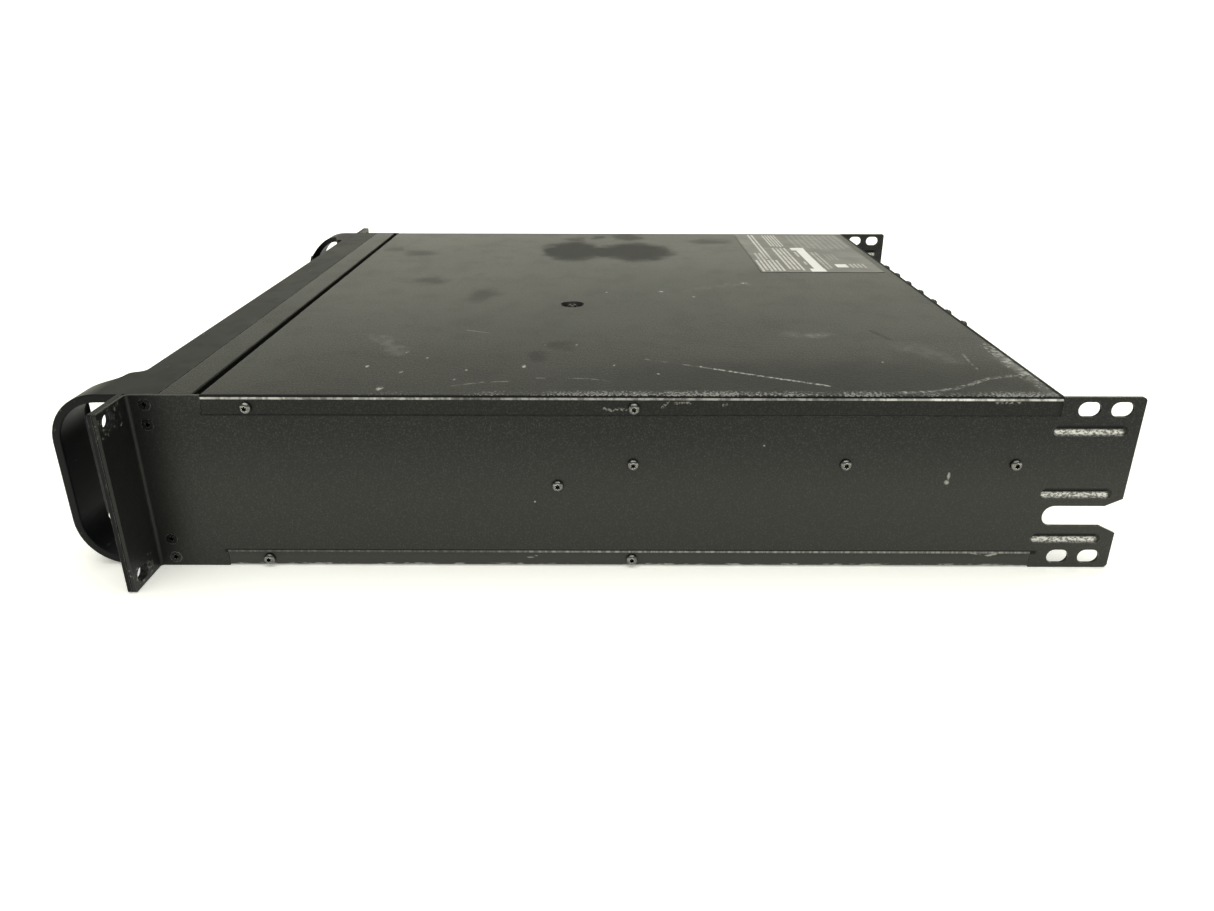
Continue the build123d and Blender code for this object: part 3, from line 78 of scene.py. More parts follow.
COAT_DARK = (0.0050, 0.0056, 0.0056)
COAT_LIGHT = (0.0080, 0.0086, 0.0082)
COAT_PALE = (0.0250, 0.0255, 0.0225)
PAN_PALE = (0.0420, 0.0420, 0.0400)
BARE_STEEL = (0.42, 0.42, 0.39)
RUBBED_STEEL_AND_HIGHLIGHT = (0.70, 0.69, 0.66)
CHALK = (0.46, 0.46, 0.42)
DUST = (0.17, 0.165, 0.14)
PRINT_WHITE = (0.72, 0.72, 0.68)
COAT_GRAIN = (0.049, 0.050, 0.045)
COAT_RIM = (0.20, 0.20, 0.185)
PLASTIC_SCUFF = (0.22, 0.215, 0.20)
PLASTIC_RIM = (0.30, 0.30, 0.29)
RECESS_SHADE = (0.006, 0.006, 0.006)
FASCIA_DARK = (0.0035, 0.0040, 0.0050)
FASCIA_LIGHT = (0.0048, 0.0053, 0.0062)

# Specular level of the powder coat on the sides, the cover and the other sheets
SIDE_GLOSS = 0.22
COVER_GLOSS = 0.13
SHEET_GLOSS = 0.09
FASCIA_GLOSS = 0.13


# ---------------------------------------------------------------- shader helpers


class Finish:
    """One procedural material, with a short call for each kind of node that repeats."""

    def __init__(self, name, **sockets):
        self.material = bpy.data.materials.new(name)
        self.material.use_nodes = True
        self.tree = self.material.node_tree
        self.shader = self.tree.nodes["Principled BSDF"]
        for socket, value in sockets.items():
            self.shader.inputs[socket.replace("_", " ")].default_value = value
        self.place = self.node("ShaderNodeTexCoord").outputs["Object"]
        self.normal = None

    def node(self, kind, **settings):
        made = self.tree.nodes.new(kind)
        for key, value in settings.items():
            setattr(made, key, value)
        return made

    def feed(self, socket, value):
        """Links an output to a socket, or sets the socket to a plain value."""
        if isinstance(value, bpy.types.NodeSocket):
            self.tree.links.new(value, socket)
        elif isinstance(value, tuple) and len(socket.default_value) == 4:
            socket.default_value = (*value, 1.0)
        else:
            socket.default_value = value

    def math(self, operation, *values):
        made = self.node("ShaderNodeMath", operation=operation)
        for socket, value in zip(made.inputs, values):
            self.feed(socket, value)
        return made.outputs[0]

    def times(self, *values):
        product = values[0]
        for value in values[1:]:
            product = self.math("MULTIPLY", product, value)
        return product

    def most(self, *values):
        largest = values[0]
        for value in values[1:]:
            largest = self.math("MAXIMUM", largest, value)
        return largest

    def vector(self, operation, *values):
        made = self.node("ShaderNodeVectorMath", operation=operation)
        slots = [made.inputs[0], made.inputs["Scale"]] if operation == "SCALE" else made.inputs
        for socket, value in zip(slots, values):
            self.feed(socket, value)
        scalar = operation in ("DOT_PRODUCT", "LENGTH", "DISTANCE")
        return made.outputs["Value" if scalar else "Vector"]

    def part(self, axis, source=None):
        """One component of a position, the object's own unless another is given."""
        made = self.node("ShaderNodeSeparateXYZ")
        self.feed(made.inputs[0], source or self.place)
        return made.outputs[axis]

    def ramp(self, value, start, end, low=0.0, high=1.0):
        """Smooth step from low at start to high at end."""
        made = self.node("ShaderNodeMapRange", interpolation_type="SMOOTHSTEP")
        for socket, item in zip(made.inputs, (value, start, end, low, high)):
            self.feed(socket, item)
        return made.outputs[0]

    def band(self, value, start, end, soft):
        """1 between two limits, fading over a soft margin outside them."""
        rise = self.ramp(value, start - soft, start)
        fall = self.ramp(value, end, end + soft, 1.0, 0.0)
        return self.times(rise, fall)

    def noise(self, size, detail=2.0, stretch=(1, 1, 1), shift=0.0, output="Fac"):
        """Cloudy noise whose features are about size metres across."""
        moved = self.vector("MULTIPLY", self.place, stretch)
        if shift:
            moved = self.vector("ADD", moved, (shift, shift * 0.7, shift * 1.3))
        made = self.node("ShaderNodeTexNoise")
        self.feed(made.inputs["Vector"], moved)
        made.inputs["Scale"].default_value = 1.0 / size
        made.inputs["Detail"].default_value = detail
        return made.outputs[output]

    def cells(self, size):
        """Distance to the middle of Voronoi cells about size metres across."""
        made = self.node("ShaderNodeTexVoronoi")
        self.feed(made.inputs["Vector"], self.place)
        made.inputs["Scale"].default_value = 1.0 / size
        return made.outputs["Distance"]

    def specks(self, spacing, radius, share, shift=0.0):
        """Small round dots in a share of the cells of a loose grid."""
        made = self.node("ShaderNodeTexVoronoi")
        self.feed(made.inputs["Vector"], self.vector("ADD", self.place, (shift, shift, shift)))
        made.inputs["Scale"].default_value = 1.0 / spacing
        dot = self.ramp(made.outputs["Distance"], radius / spacing, 0.6 * radius / spacing)
        pick = self.part(0, made.outputs["Color"])
        return self.times(dot, self.math("LESS_THAN", pick, share))

    def edges(self, radius, low=0.35, high=0.05):
        """1 along sharp edges, fading inward over about the radius."""
        rounded = self.node("ShaderNodeBevel", samples=4)
        rounded.inputs["Radius"].default_value = radius
        true = self.node("ShaderNodeNewGeometry")
        along = self.vector("DOT_PRODUCT", rounded.outputs[0], true.outputs["Normal"])
        return self.ramp(along, 1.0 - high, 1.0 - low)

    def stroke(self, flat, points, width):
        """1 along a line through points of a flattened position, fading across its width."""
        masks = []
        for start, end in zip(points, points[1:]):
            start, end = Vector(start) * MM, Vector(end) * MM
            run = end - start
            offset = self.vector("SUBTRACT", flat, tuple(start))
            share = self.vector("DOT_PRODUCT", offset, tuple(run / run.length_squared))
            share = self.math("MINIMUM", self.math("MAXIMUM", share, 0.0), 1.0)
            nearest = self.vector("SCALE", tuple(run), share)
            distance = self.vector("LENGTH", self.vector("SUBTRACT", offset, nearest))
            masks.append(self.ramp(distance, width, 0.3 * width))
        return self.most(*masks)

    def strokes(self, flat, lines, width):
        """The strongest of several strokes, each a list of points."""
        return self.most(*(self.stroke(flat, line, width) for line in lines))

    def flatten(self, axes, warp=0.0):
        """Position with one axis dropped, wandering by about a fifth of the warp in metres."""
        flat = self.vector("MULTIPLY", self.place, axes)
        if warp:
            drift = self.noise(0.016, 4, output="Color")
            drift = self.vector("SUBTRACT", drift, (0.5, 0.5, 0.5))
            drift = self.vector("MULTIPLY", drift, tuple(axis * warp for axis in axes))
            flat = self.vector("ADD", flat, drift)
        return flat

    def crumbs(self, density, size):
        """Speckled wear that thickens as the density goes from 0 to 1."""
        grain = self.noise(size, 4)
        return self.ramp(self.math("MULTIPLY_ADD", density, 0.15, grain), 0.60, 0.67)

    def blots(self, flat, patches, soft=0.4):
        """The strongest of several blots, each a centre and radii."""
        return self.most(*(self.blot(flat, centre, radii, soft) for centre, radii in patches))

    def blot(self, flat, centre, radii, soft=0.4):
        """1 inside an ellipse of a flattened position, with a soft rim."""
        offset = self.vector("SUBTRACT", flat, tuple(Vector(centre) * MM))
        scaled = self.vector("DIVIDE", offset, tuple(Vector(radii) * MM))
        return self.ramp(self.vector("LENGTH", scaled), 1.0 + soft, 1.0 - soft)

    def mix(self, factor, first, second):
        made = self.node("ShaderNodeMix", data_type="RGBA")
        sockets = (made.inputs[0], made.inputs[6], made.inputs[7])
        for socket, value in zip(sockets, (factor, first, second)):
            self.feed(socket, value)
        return made.outputs[2]

    def mix_value(self, factor, first, second):
        made = self.node("ShaderNodeMix")
        sockets = (made.inputs[0], made.inputs[2], made.inputs[3])
        for socket, value in zip(sockets, (factor, first, second)):
            self.feed(socket, value)
        return made.outputs[0]

    def relief(self, height, distance, strength=1.0):
        """Adds a bump to the surface, on top of those before it."""
        made = self.node("ShaderNodeBump")
        made.inputs["Strength"].default_value = strength
        made.inputs["Distance"].default_value = distance
        self.feed(made.inputs["Height"], height)
        if self.normal is not None:
            self.feed(made.inputs["Normal"], self.normal)
        self.normal = made.outputs[0]

    def done(self, colour, roughness, metallic=None):
        self.feed(self.shader.inputs["Base Color"], colour)
        self.feed(self.shader.inputs["Roughness"], roughness)
        if metallic is not None:
            self.feed(self.shader.inputs["Metallic"], metallic)
        if self.normal is not None:
            self.feed(self.shader.inputs["Normal"], self.normal)
        return self.material


# ---------------------------------------------------------------- marks of use
# Each list of marks holds (mask, colour, roughness); places are in millimetres.


def top_marks(finish):
    """Scratches, chafing, specks and greasy patches on the cover's top; painted shade on its rear
    fold.
    """
    firm = finish.flatten((1, 1, 0), 0.0012)
    loose = finish.flatten((1, 1, 0), 0.026)
    x, y, z = (finish.part(axis) for axis in range(3))
    top = finish.ramp(z, TOP - 0.6 * MM, TOP - 0.2 * MM)
    broken = finish.ramp(finish.noise(0.0040, 5), 0.42, 0.58)
    crumbled = finish.ramp(finish.noise(0.0020, 5, shift=3.0), 0.42, 0.60, 0.08, 1)
    clotted = finish.ramp(finish.noise(0.0055, 5, shift=8.0), 0.40, 0.60, 0.25, 1)

    # The long scratch with its faint tail, and the arc at the rear right corner
    deep = [(175.2, 271.5, 0), (187.5, 295.5, 0), (200.4, 322.0, 0)]
    deep = finish.stroke(firm, deep, 1.3 * MM)
    tail = finish.stroke(firm, [(159.0, 238.0, 0), (176.0, 273.0, 0)], 1.1 * MM)
    arc = finish.stroke(
        firm,
        [
            (209.5, 352.0, 0),
            (208.0, 366.6, 0),
            (204.0, 379.6, 0),
            (197.0, 390.0, 0),
            (188.5, 401.0, 0),
            (184.0, 416.0, 0),
        ],
        1.9 * MM,
    )
    thin = finish.strokes(
        firm,
        [
            [(189.8, 184.7, 0), (189.8, 190.0, 0)],
            [(189.8, 200.0, 0), (190.4, 209.0, 0), (193.0, 217.0, 0), (196.5, 223.0, 0)],
            [(202.0, 144.0, 0), (196.0, 160.0, 0), (194.5, 172.0, 0)],
            [(145.0, 403.5, 0), (160.0, 401.8, 0), (174.0, 401.0, 0)],
            [(104.0, 138.0, 0), (111.0, 153.0, 0)],
        ],
        0.9 * MM,
    )
    dent = [(104.0, 366.7, 0), (113.0, 370.0, 0), (121.5, 372.4, 0)]
    dent = finish.stroke(firm, dent, 2.2 * MM)

    # Chafing that thickens towards the right fold, the rear edge and their corner
    fold_band = finish.times(
        finish.ramp(x, SIDE - 12 * MM, SIDE - 2.0 * MM),
        finish.ramp(x, SIDE - 0.5 * MM, SIDE - 1.4 * MM),
        finish.ramp(y, 60 * MM, 260 * MM, 0.25, 1),
        finish.ramp(finish.noise(0.022, 3, (0, 1, 0), shift=3.0), 0.38, 0.60, 0.45, 1),
    )
    rear_band = finish.times(
        finish.ramp(y, COVER_REAR - 13.0 * MM, COVER_REAR - 4.0 * MM),
        finish.ramp(x, 112 * MM, 158 * MM),
        finish.ramp(x, 187 * MM, 196 * MM, 1, 0.45),
    )
    chafe = finish.times(finish.crumbs(fold_band, 0.0013), finish.ramp(fold_band, 0.1, 0.7), 0.75)
    patchy = finish.crumbs(finish.times(rear_band, 1.5), 0.0022)
    patchy = finish.times(patchy, finish.ramp(rear_band, 0.05, 0.5), clotted)
    haze = finish.times(rear_band, finish.ramp(finish.noise(0.012, 4, shift=5.0), 0.40, 0.62), 0.35)
    worn = finish.most(chafe, patchy, haze)
    # Painted shade over the cover's rear fold and flange, the last few millimetres towards the rear
    edge = finish.ramp(y, COVER_REAR - 3.6 * MM, COVER_REAR - 2.9 * MM)

    def smear(points, width, strength):
        return finish.times(finish.stroke(loose, points, width * MM), strength)

    smears = finish.most(
        finish.blot(loose, (113, 335, 0), (5, 8, 1), 0.6),
        finish.times(finish.blot(loose, (112, 326, 0), (5, 10, 1), 0.7), 0.55),
        smear([(122, 96, 0), (135, 102, 0), (149, 109, 0)], 8, 0.50),
        smear([(134, 377, 0), (147, 386, 0), (157, 391, 0)], 11, 0.35),
        smear([(-17, 312, 0), (-6, 290, 0), (4, 268, 0)], 5, 0.30),
    )
    greasy = finish.blots(
        loose,
        [
            ((-134, 190, 0), (37, 21, 1)),
            ((-130, 241, 0), (36, 27, 1)),
            ((-128, 215, 0), (18, 20, 1)),
        ],
        0.30,
    )
    fingers = finish.blots(
        loose,
        [
            ((-184, 190, 0), (10, 6, 1)),
            ((-190, 210, 0), (9, 5, 1)),
            ((-195, 235, 0), (16, 11, 1)),
        ],
        0.5,
    )
    greasy = finish.most(greasy, finish.times(fingers, 0.6))
    stains = finish.blots(
        loose,
        [
            ((-122, 70, 0), (9, 12, 1)),
            ((-138, 48, 0), (7, 7, 1)),
            ((-23, 95, 0), (12, 10, 1)),
            ((21, 138, 0), (14, 9, 1)),
            ((154, 182, 0), (6, 5, 1)),
            ((134, 193, 0), (7, 9, 1)),
            ((-176, 303, 0), (10, 16, 1)),
            ((192, 330, 0), (30, 95, 1)),
        ],
        0.7,
    )
    chips = finish.blots(
        firm,
        [
            ((-17.0, 312.0, 0), (2.0, 2.4, 1)),
            ((9.0, 253.5, 0), (1.7, 1.7, 1)),
            ((23.5, 274.0, 0), (1.2, 1.2, 1)),
            ((11.5, 218.0, 0), (1.0, 1.0, 1)),
            ((172.3, 99.2, 0), (1.5, 0.9, 1)),
            ((205.5, 113.0, 0), (2.6, 1.6, 1)),
            ((147.8, 114.3, 0), (1.2, 0.8, 1)),
            ((157.7, 126.3, 0), (1.1, 0.7, 1)),
            ((180.7, 117.7, 0), (1.4, 0.8, 1)),
            ((177.7, 149.2, 0), (1.0, 0.6, 1)),
            ((192.3, 145.5, 0), (1.0, 0.7, 1)),
            ((171.5, 177.0, 0), (2.2, 0.9, 1)),
            ((134.0, 185.0, 0), (1.2, 0.6, 1)),
            ((134.0, 202.0, 0), (1.2, 0.6, 1)),
            ((169.5, 221.8, 0), (1.1, 0.6, 1)),
            ((171.2, 264.7, 0), (1.1, 0.6, 1)),
            ((183.0, 243.0, 0), (1.1, 0.6, 1)),
            ((163.0, 357.4, 0), (1.4, 0.5, 1)),
        ],
        0.35,
    )
    return [
        (finish.times(stains, top, 0.45), COAT_DARK, 0.50),
        (finish.times(greasy, top, 0.62), COAT_DARK, 0.60),
        (finish.times(smears, clotted, top, 0.20), CHALK, 0.42),
        (finish.times(dent, top, 0.25), COAT_DARK, 0.60),
        (finish.times(finish.most(thin, tail), broken, top, 0.30), CHALK, 0.50),
        (finish.times(deep, crumbled, top, 0.85), CHALK, 0.50),
        (finish.times(arc, crumbled, clotted, top, 0.75), CHALK, 0.50),
        (finish.times(worn, top, 0.66), CHALK, 0.48),
        (finish.times(chips, crumbled, top, 0.85), CHALK, 0.48),
        (finish.times(edge, 0.9), COAT_DARK, 0.80),
    ]


def fold_marks(finish):
    """Bright line on the cover's folds, partly worn paint and partly painted highlight; painted
    shade above it and along the flanges' lower edges; scrapes on the side flanges.
    """
    x, y, z = (finish.part(axis) for axis in range(3))
    outer = finish.ramp(finish.math("ABSOLUTE", x), SIDE - 1.4 * MM, SIDE - 0.7 * MM)
    fold = finish.band(z, TOP - 1.75 * MM, TOP - 1.05 * MM, 0.25 * MM)
    # Painted shade in the crease between the top and the fold's bright line
    crease_shade = finish.band(z, TOP - 0.70 * MM, TOP - 0.25 * MM, 0.15 * MM)
    # Painted shade along the flange's lower edge, where it meets the side sheet
    seam = finish.ramp(z, COVER_LOW.z + 0.55 * MM, COVER_LOW.z + 0.25 * MM)
    ends = finish.most(
        finish.ramp(y, 290 * MM, 385 * MM),
        finish.ramp(y, 190 * MM, 95 * MM, 0, 0.45),
    )
    patchy = finish.ramp(finish.noise(0.030, 5, (0, 1, 0), shift=2.0), 0.36, 0.52, 0.45, 1)
    glints = finish.ramp(finish.noise(0.0024, 4, (1, 1, 0.5), shift=1.0), 0.40, 0.58, 0.45, 1)
    # Bright line on the fold: partly worn paint, partly painted highlight
    bright = finish.times(fold, outer, patchy, glints, finish.ramp(ends, 0, 1, 0.45, 1))
    flat = finish.flatten((0, 1, 1), 0.0015)
    scribble = finish.strokes(
        flat,
        [
            [(0, 217.0, 38.4), (0, 220.5, 37.2), (0, 223.5, 38.3), (0, 227.0, 37.6)],
            [(0, 243.5, 38.7), (0, 246.0, 41.4)],
            [(0, 249.0, 40.4), (0, 256.0, 40.9)],
            [(0, 395.0, 41.4), (0, 406.0, 41.6)],
            [(0, 271.0, 39.8), (0, 273.0, 40.2)],
        ],
        0.9 * MM,
    )
    right = finish.ramp(x, 0, MM)
    gaps = finish.ramp(finish.noise(0.0011, 4), 0.44, 0.60)
    scribble = finish.times(scribble, outer, right, gaps)
    flange = finish.ramp(z, TOP - 1.8 * MM, TOP - 2.4 * MM)
    return [
        (finish.times(flange, outer, 0.28), COAT_PALE, 0.35),
        (finish.most(finish.times(crease_shade, outer), finish.times(seam, 0.75)), COAT_DARK, 0.85),
        (bright, RUBBED_STEEL_AND_HIGHLIGHT, 0.45),
        (finish.times(scribble, 0.36), CHALK, 0.5),
    ]


def side_marks(finish):
    """Knocks and bolt scuffs on the side sheets, painted highlights and shadows on the ribs, and
    painted shade at the joints and by the front ears.
    """
    flat = finish.flatten((0, 1, 1), 0.0012)
    x, y, z = (finish.part(axis) for axis in range(3))
    grit = finish.ramp(finish.noise(0.0009, 3), 0.36, 0.60, 0.25, 1)
    knock = finish.blots(
        flat,
        [
            ((0, 378.7, 4.8), (1, 0.7, 1.7)),
            ((0, 378.2, 1.6), (1, 1.1, 1.1)),
            ((0, 184.0, -9.0), (1, 0.45, 0.45)),
            ((0, 291.0, 20.0), (1, 0.45, 0.45)),
        ],
    )
    # Painted highlight, silvery and speckled, along the lower walls of the pressed ribs
    exact = finish.flatten((0, 1, 1))
    ribs = finish.strokes(
        exact,
        [
            [(0, 425.6, 26.7), (0, 455.2, 26.7)],
            [(0, 425.4, -5.2), (0, 454.8, -5.2)],
            [(0, 425.4, -29.1), (0, 454.2, -29.1)],
        ],
        1.9 * MM,
    )
    sparkle = finish.ramp(finish.noise(0.0009, 4, (1, 0.7, 1.3), shift=2.0), 0.40, 0.58, 0.18, 1)
    # Painted shade in the joints with the cover's and the pan's flanges
    upper = finish.band(z, COVER_LOW.z - 0.45 * MM, COVER_LOW.z + 1.2 * MM, 0.15 * MM)
    lower = finish.band(z, PAN_TOP - 1.2 * MM, PAN_TOP + 0.6 * MM, 0.15 * MM)
    upper = finish.times(upper, finish.ramp(y, 140 * MM, 330 * MM, 0.9, 0.4))
    seams = finish.most(upper, lower)
    seams = finish.times(seams, finish.band(y, 33 * MM, COVER_REAR - 0.5 * MM, 1.5 * MM))
    # Shadow along the ribs' upper walls
    shade = finish.strokes(
        exact,
        [
            [(0, 426.0, 29.2), (0, 454.8, 29.2)],
            [(0, 425.8, -2.7), (0, 454.4, -2.7)],
            [(0, 425.8, -26.7), (0, 453.8, -26.7)],
        ],
        1.8 * MM,
    )
    # Paint rubbed off in small specks round the slots of the front ears
    ear = finish.ramp(finish.math("ABSOLUTE", x), 221.5 * MM, 223.5 * MM)
    slot = finish.band(finish.math("ABSOLUTE", z), 32.5 * MM, 43.5 * MM, 0.8 * MM)
    specks = finish.ramp(finish.noise(0.0016, 4, shift=5.0), 0.58, 0.68)
    scuffed = finish.times(ear, slot, specks)
    return [
        # Painted shade on the sides next to the front ears, deepest at the bend
        (finish.times(finish.ramp(y, 26 * MM, 2 * MM), 0.7), COAT_DARK, 0.45),
        (finish.times(knock, grit, finish.ramp(x, 0, MM), 0.6), CHALK, 0.5),
        (finish.most(finish.times(seams, 0.9), shade), COAT_DARK, 0.85),
        (finish.times(ribs, sparkle), RUBBED_STEEL_AND_HIGHLIGHT, 0.38),
        (finish.times(scuffed, 0.28), CHALK, 0.5),
    ]


def pan_marks(finish):
    """Scuffs from sliding on shelves, along the bottom folds and across the underside."""
    y, z = finish.part(1), finish.part(2)
    # Paler below the pan's top flange
    pan_lower_pale = finish.ramp(z, PAN_TOP + 1 * MM, PAN_TOP - 4 * MM)
    under = finish.ramp(z, cad_low.z + 0.5 * MM, cad_low.z + 0.1 * MM)
    drag = finish.ramp(finish.noise(0.004, 4, (2.2, 0.05, 1)), 0.60, 0.70)
    fold = finish.band(z, cad_low.z + 0.3 * MM, cad_low.z + 1.4 * MM, 0.4 * MM)
    crumbly = finish.ramp(finish.noise(0.0020, 3, (1, 0.4, 1)), 0.50, 0.64)
    seam = finish.band(z, PAN_TOP - 0.9 * MM, PAN_TOP, 0.15 * MM)
    sparkle = finish.ramp(finish.noise(0.0022, 4, (0, 1, 0)), 0.44, 0.60, 0.35, 1)
    seam = finish.times(seam, sparkle, finish.ramp(y, 140 * MM, 210 * MM, 0.28, 1))
    nicks = finish.strokes(
        finish.flatten((0, 1, 1), 0.0012),
        [
            [(0, 396.0, -36.9), (0, 402.0, -38.4), (0, 408.0, -37.0)],
            [(0, 398.0, -40.3), (0, 402.0, -40.0)],
            [(0, 180.0, -39.0), (0, 184.0, -38.7)],
        ],
        0.9 * MM,
    )
    return [
        (finish.times(pan_lower_pale, 0.70), PAN_PALE, 0.45),
        (finish.times(under, drag, 0.35), CHALK, 0.5),
        (finish.times(fold, crumbly, 0.55), BARE_STEEL, 0.45),
        (finish.times(seam, 0.60), BARE_STEEL, 0.45),
        (finish.times(nicks, crumbly, 0.6), CHALK, 0.5),
    ]


# ---------------------------------------------------------------- materials of the case


def powder_coat(name, gloss, *marks):
    """Powder-coated steel: pebbled skin, colour paler towards the bottom, specks, and paler edges
    that are partly worn paint and partly painted highlight.
    """
    f = Finish(name, Specular_IOR_Level=gloss)
    clouds = f.ramp(f.noise(0.11, 3), 0.30, 0.72)
    handled = f.ramp(f.noise(0.016, 4, shift=7.0), 0.42, 0.72)
    pebble = f.noise(0.00055, 2)
    colour = f.mix(clouds, COAT_DARK, COAT_LIGHT)
    # Colour paler towards the bottom, a little more so towards the rear
    paler_below = f.ramp(f.part(2), 37 * MM, -8 * MM)
    paler_below = f.times(paler_below, f.ramp(f.part(1), 20 * MM, 420 * MM, 0.75, 1))
    colour = f.mix(paler_below, colour, COAT_PALE)
    grain = f.ramp(f.noise(0.0008, 2, shift=6.0), 0.45, 0.62)
    sprinkled = f.times(grain, f.ramp(pebble, 0.40, 0.62), 0.55)
    colour = f.mix(sprinkled, colour, COAT_GRAIN)
    roughness = f.ramp(clouds, 0, 1, 0.350, 0.335)
    roughness = f.math("ADD", roughness, f.ramp(handled, 0, 1, 0.0, 0.02))
    roughness = f.math("ADD", roughness, f.ramp(grain, 0, 1, 0.030, -0.030))
    specks = f.specks(0.0095, 0.00026, 0.22)
    colour = f.mix(f.times(specks, 0.5), colour, CHALK)
    uneven = f.ramp(f.noise(0.0035, 4, shift=9.0), 0.40, 0.58, 0.18, 0.85)
    # Paler edges: partly worn paint, partly painted highlight
    rim = f.times(f.edges(0.00045), uneven)
    colour = f.mix(f.times(rim, 0.8), colour, COAT_RIM)
    for make in marks:
        for mask, mark_colour, mark_roughness in make(f):
            colour = f.mix(mask, colour, mark_colour)
            roughness = f.mix_value(mask, roughness, mark_roughness)
    f.relief(pebble, 0.00006, 0.55)
    f.relief(f.noise(0.0016, 3, shift=4.0), 0.00014, 0.6)
    return f.done(colour, roughness)


def moulded_black(name, dark, light, roughness, grain=0.0005, rim_wear_and_highlight=0.35, gloss=0.4):
    """Moulded plastic: fine spark grain, faint flow clouds, and pale edges that are partly rubbed
    and partly painted highlight.
    """
    f = Finish(name, Specular_IOR_Level=gloss)
    clouds = f.ramp(f.noise(0.05, 4), 0.35, 0.70)
    colour = f.mix(clouds, dark, light)
    handled = f.ramp(f.noise(0.012, 4, shift=2.0), 0.45, 0.70)
    rough = f.ramp(clouds, 0, 1, roughness + 0.01, roughness - 0.01)
    rough = f.math("ADD", rough, f.ramp(handled, 0, 1, 0, 0.03))
    scuffs = f.ramp(f.noise(0.0045, 5, (0.35, 1.6, 1.0), shift=6.0), 0.66, 0.74)
    colour = f.mix(f.times(scuffs, 0.25), colour, PLASTIC_SCUFF)
    specks = f.specks(0.007, 0.0002, 0.2, shift=1.5)
    colour = f.mix(f.times(specks, 0.5), colour, DUST)
    # Pale edges: partly rubbed plastic, partly painted highlight
    rim = f.times(f.edges(0.0005), f.ramp(f.noise(0.004, 4, shift=3.0), 0.35, 0.6, 0.3, 1.0))
    colour = f.mix(f.times(rim, rim_wear_and_highlight), colour, PLASTIC_RIM)
    f.relief(f.noise(grain, 2), 0.00004, 0.5)
    return f.done(colour, rough)


def metal(name, colour, roughness, grain=(1, 1, 1), tarnish=None):
    """Bare or plated metal with fine grain, tarnish clouds, and bright edges that are partly
    polished by wear and partly painted highlight.
    """
    f = Finish(name, Metallic=1.0)
    dull = tarnish or tuple(0.55 * c for c in colour)
    bright = tuple(min(1.0, 1.25 * c) for c in colour)
    clouds = f.ramp(f.noise(0.006, 4), 0.38, 0.68)
    streaks = f.noise(0.0012, 3, grain)
    shade = f.mix(clouds, colour, dull)
    shade = f.mix(f.ramp(streaks, 0.4, 0.7, 0, 0.35), shade, dull)
    # Bright edges: partly polished by wear, partly painted highlight
    shade = f.mix(f.times(f.edges(0.0003), 0.7), shade, bright)
    rough = f.ramp(clouds, 0, 1, roughness, roughness + 0.14)
    rough = f.math("ADD", rough, f.ramp(streaks, 0.3, 0.7, -0.04, 0.06))
    f.relief(streaks, 0.00002, 0.35)
    return f.done(shade, rough)


def screw_finish(name, crown, shadow, rim):
    """Plated steel screw: clouded crown, bright rims that are partly polish and partly painted
    highlight, and painted shade in the star recess.
    """
    f = Finish(name, Metallic=1.0)
    clouds = f.noise(0.0012, 3)
    open_sky = f.node("ShaderNodeAmbientOcclusion", samples=8)
    open_sky.inputs["Distance"].default_value = 1.6 * MM
    # Painted shade in the star recess, where the ambient occlusion is low
    unshaded = f.ramp(open_sky.outputs["AO"], 0.62, 0.90)
    colour = f.mix(f.ramp(clouds, 0.4, 0.7), crown, shadow)
    # Bright rims: partly polished by wear, partly painted highlight
    rubbed = f.times(f.edges(0.00040), f.ramp(f.noise(0.0016, 3, shift=4.0), 0.30, 0.50))
    colour = f.mix(rubbed, colour, rim)
    colour = f.mix(unshaded, RECESS_SHADE, colour)
    f.relief(f.noise(0.0004, 2), 0.00002, 0.3)
    return f.done(colour, f.ramp(clouds, 0.35, 0.7, 0.22, 0.38))


def filter_foam(name):
    """Open-cell filter foam: soft grey walls, with painted shade in the pores between them."""
    f = Finish(name)
    pores = f.cells(0.0011)
    # Painted shade in the pores, grey on the walls between them
    walls = f.ramp(pores, 0.25, 0.62)
    colour = f.mix(walls, (0.004, 0.004, 0.004), (0.040, 0.040, 0.042))
    colour = f.mix(f.ramp(f.noise(0.012, 3), 0.5, 0.72, 0, 0.5), colour, (0.085, 0.080, 0.070))
    f.relief(pores, 0.0006, 1.0)
    return f.done(colour, f.ramp(pores, 0.2, 0.7, 1.0, 0.85))


def lamp_lens(name):
    """Milky lamp lenses, tinted green, amber and red up the stack."""
    f = Finish(name, Transmission_Weight=0.25)
    z = f.part(2)
    tint = (0.16, 0.42, 0.14)
    steps = ((8, (0.12, 0.40, 0.12)), (16, (0.55, 0.33, 0.05)), (24, (0.50, 0.04, 0.03)))
    for height, next_tint in steps:
        above = f.ramp(z, (height - 0.1) * MM, (height + 0.1) * MM)
        tint = f.mix(above, tint, next_tint)
    cloudy = f.noise(0.0008, 2)
    tint = f.mix(f.ramp(cloudy, 0.45, 0.75, 0, 0.4), tint, (0.6, 0.6, 0.55))
    f.relief(cloudy, 0.00002, 0.3)
    return f.done(tint, f.ramp(cloudy, 0.3, 0.7, 0.16, 0.28))


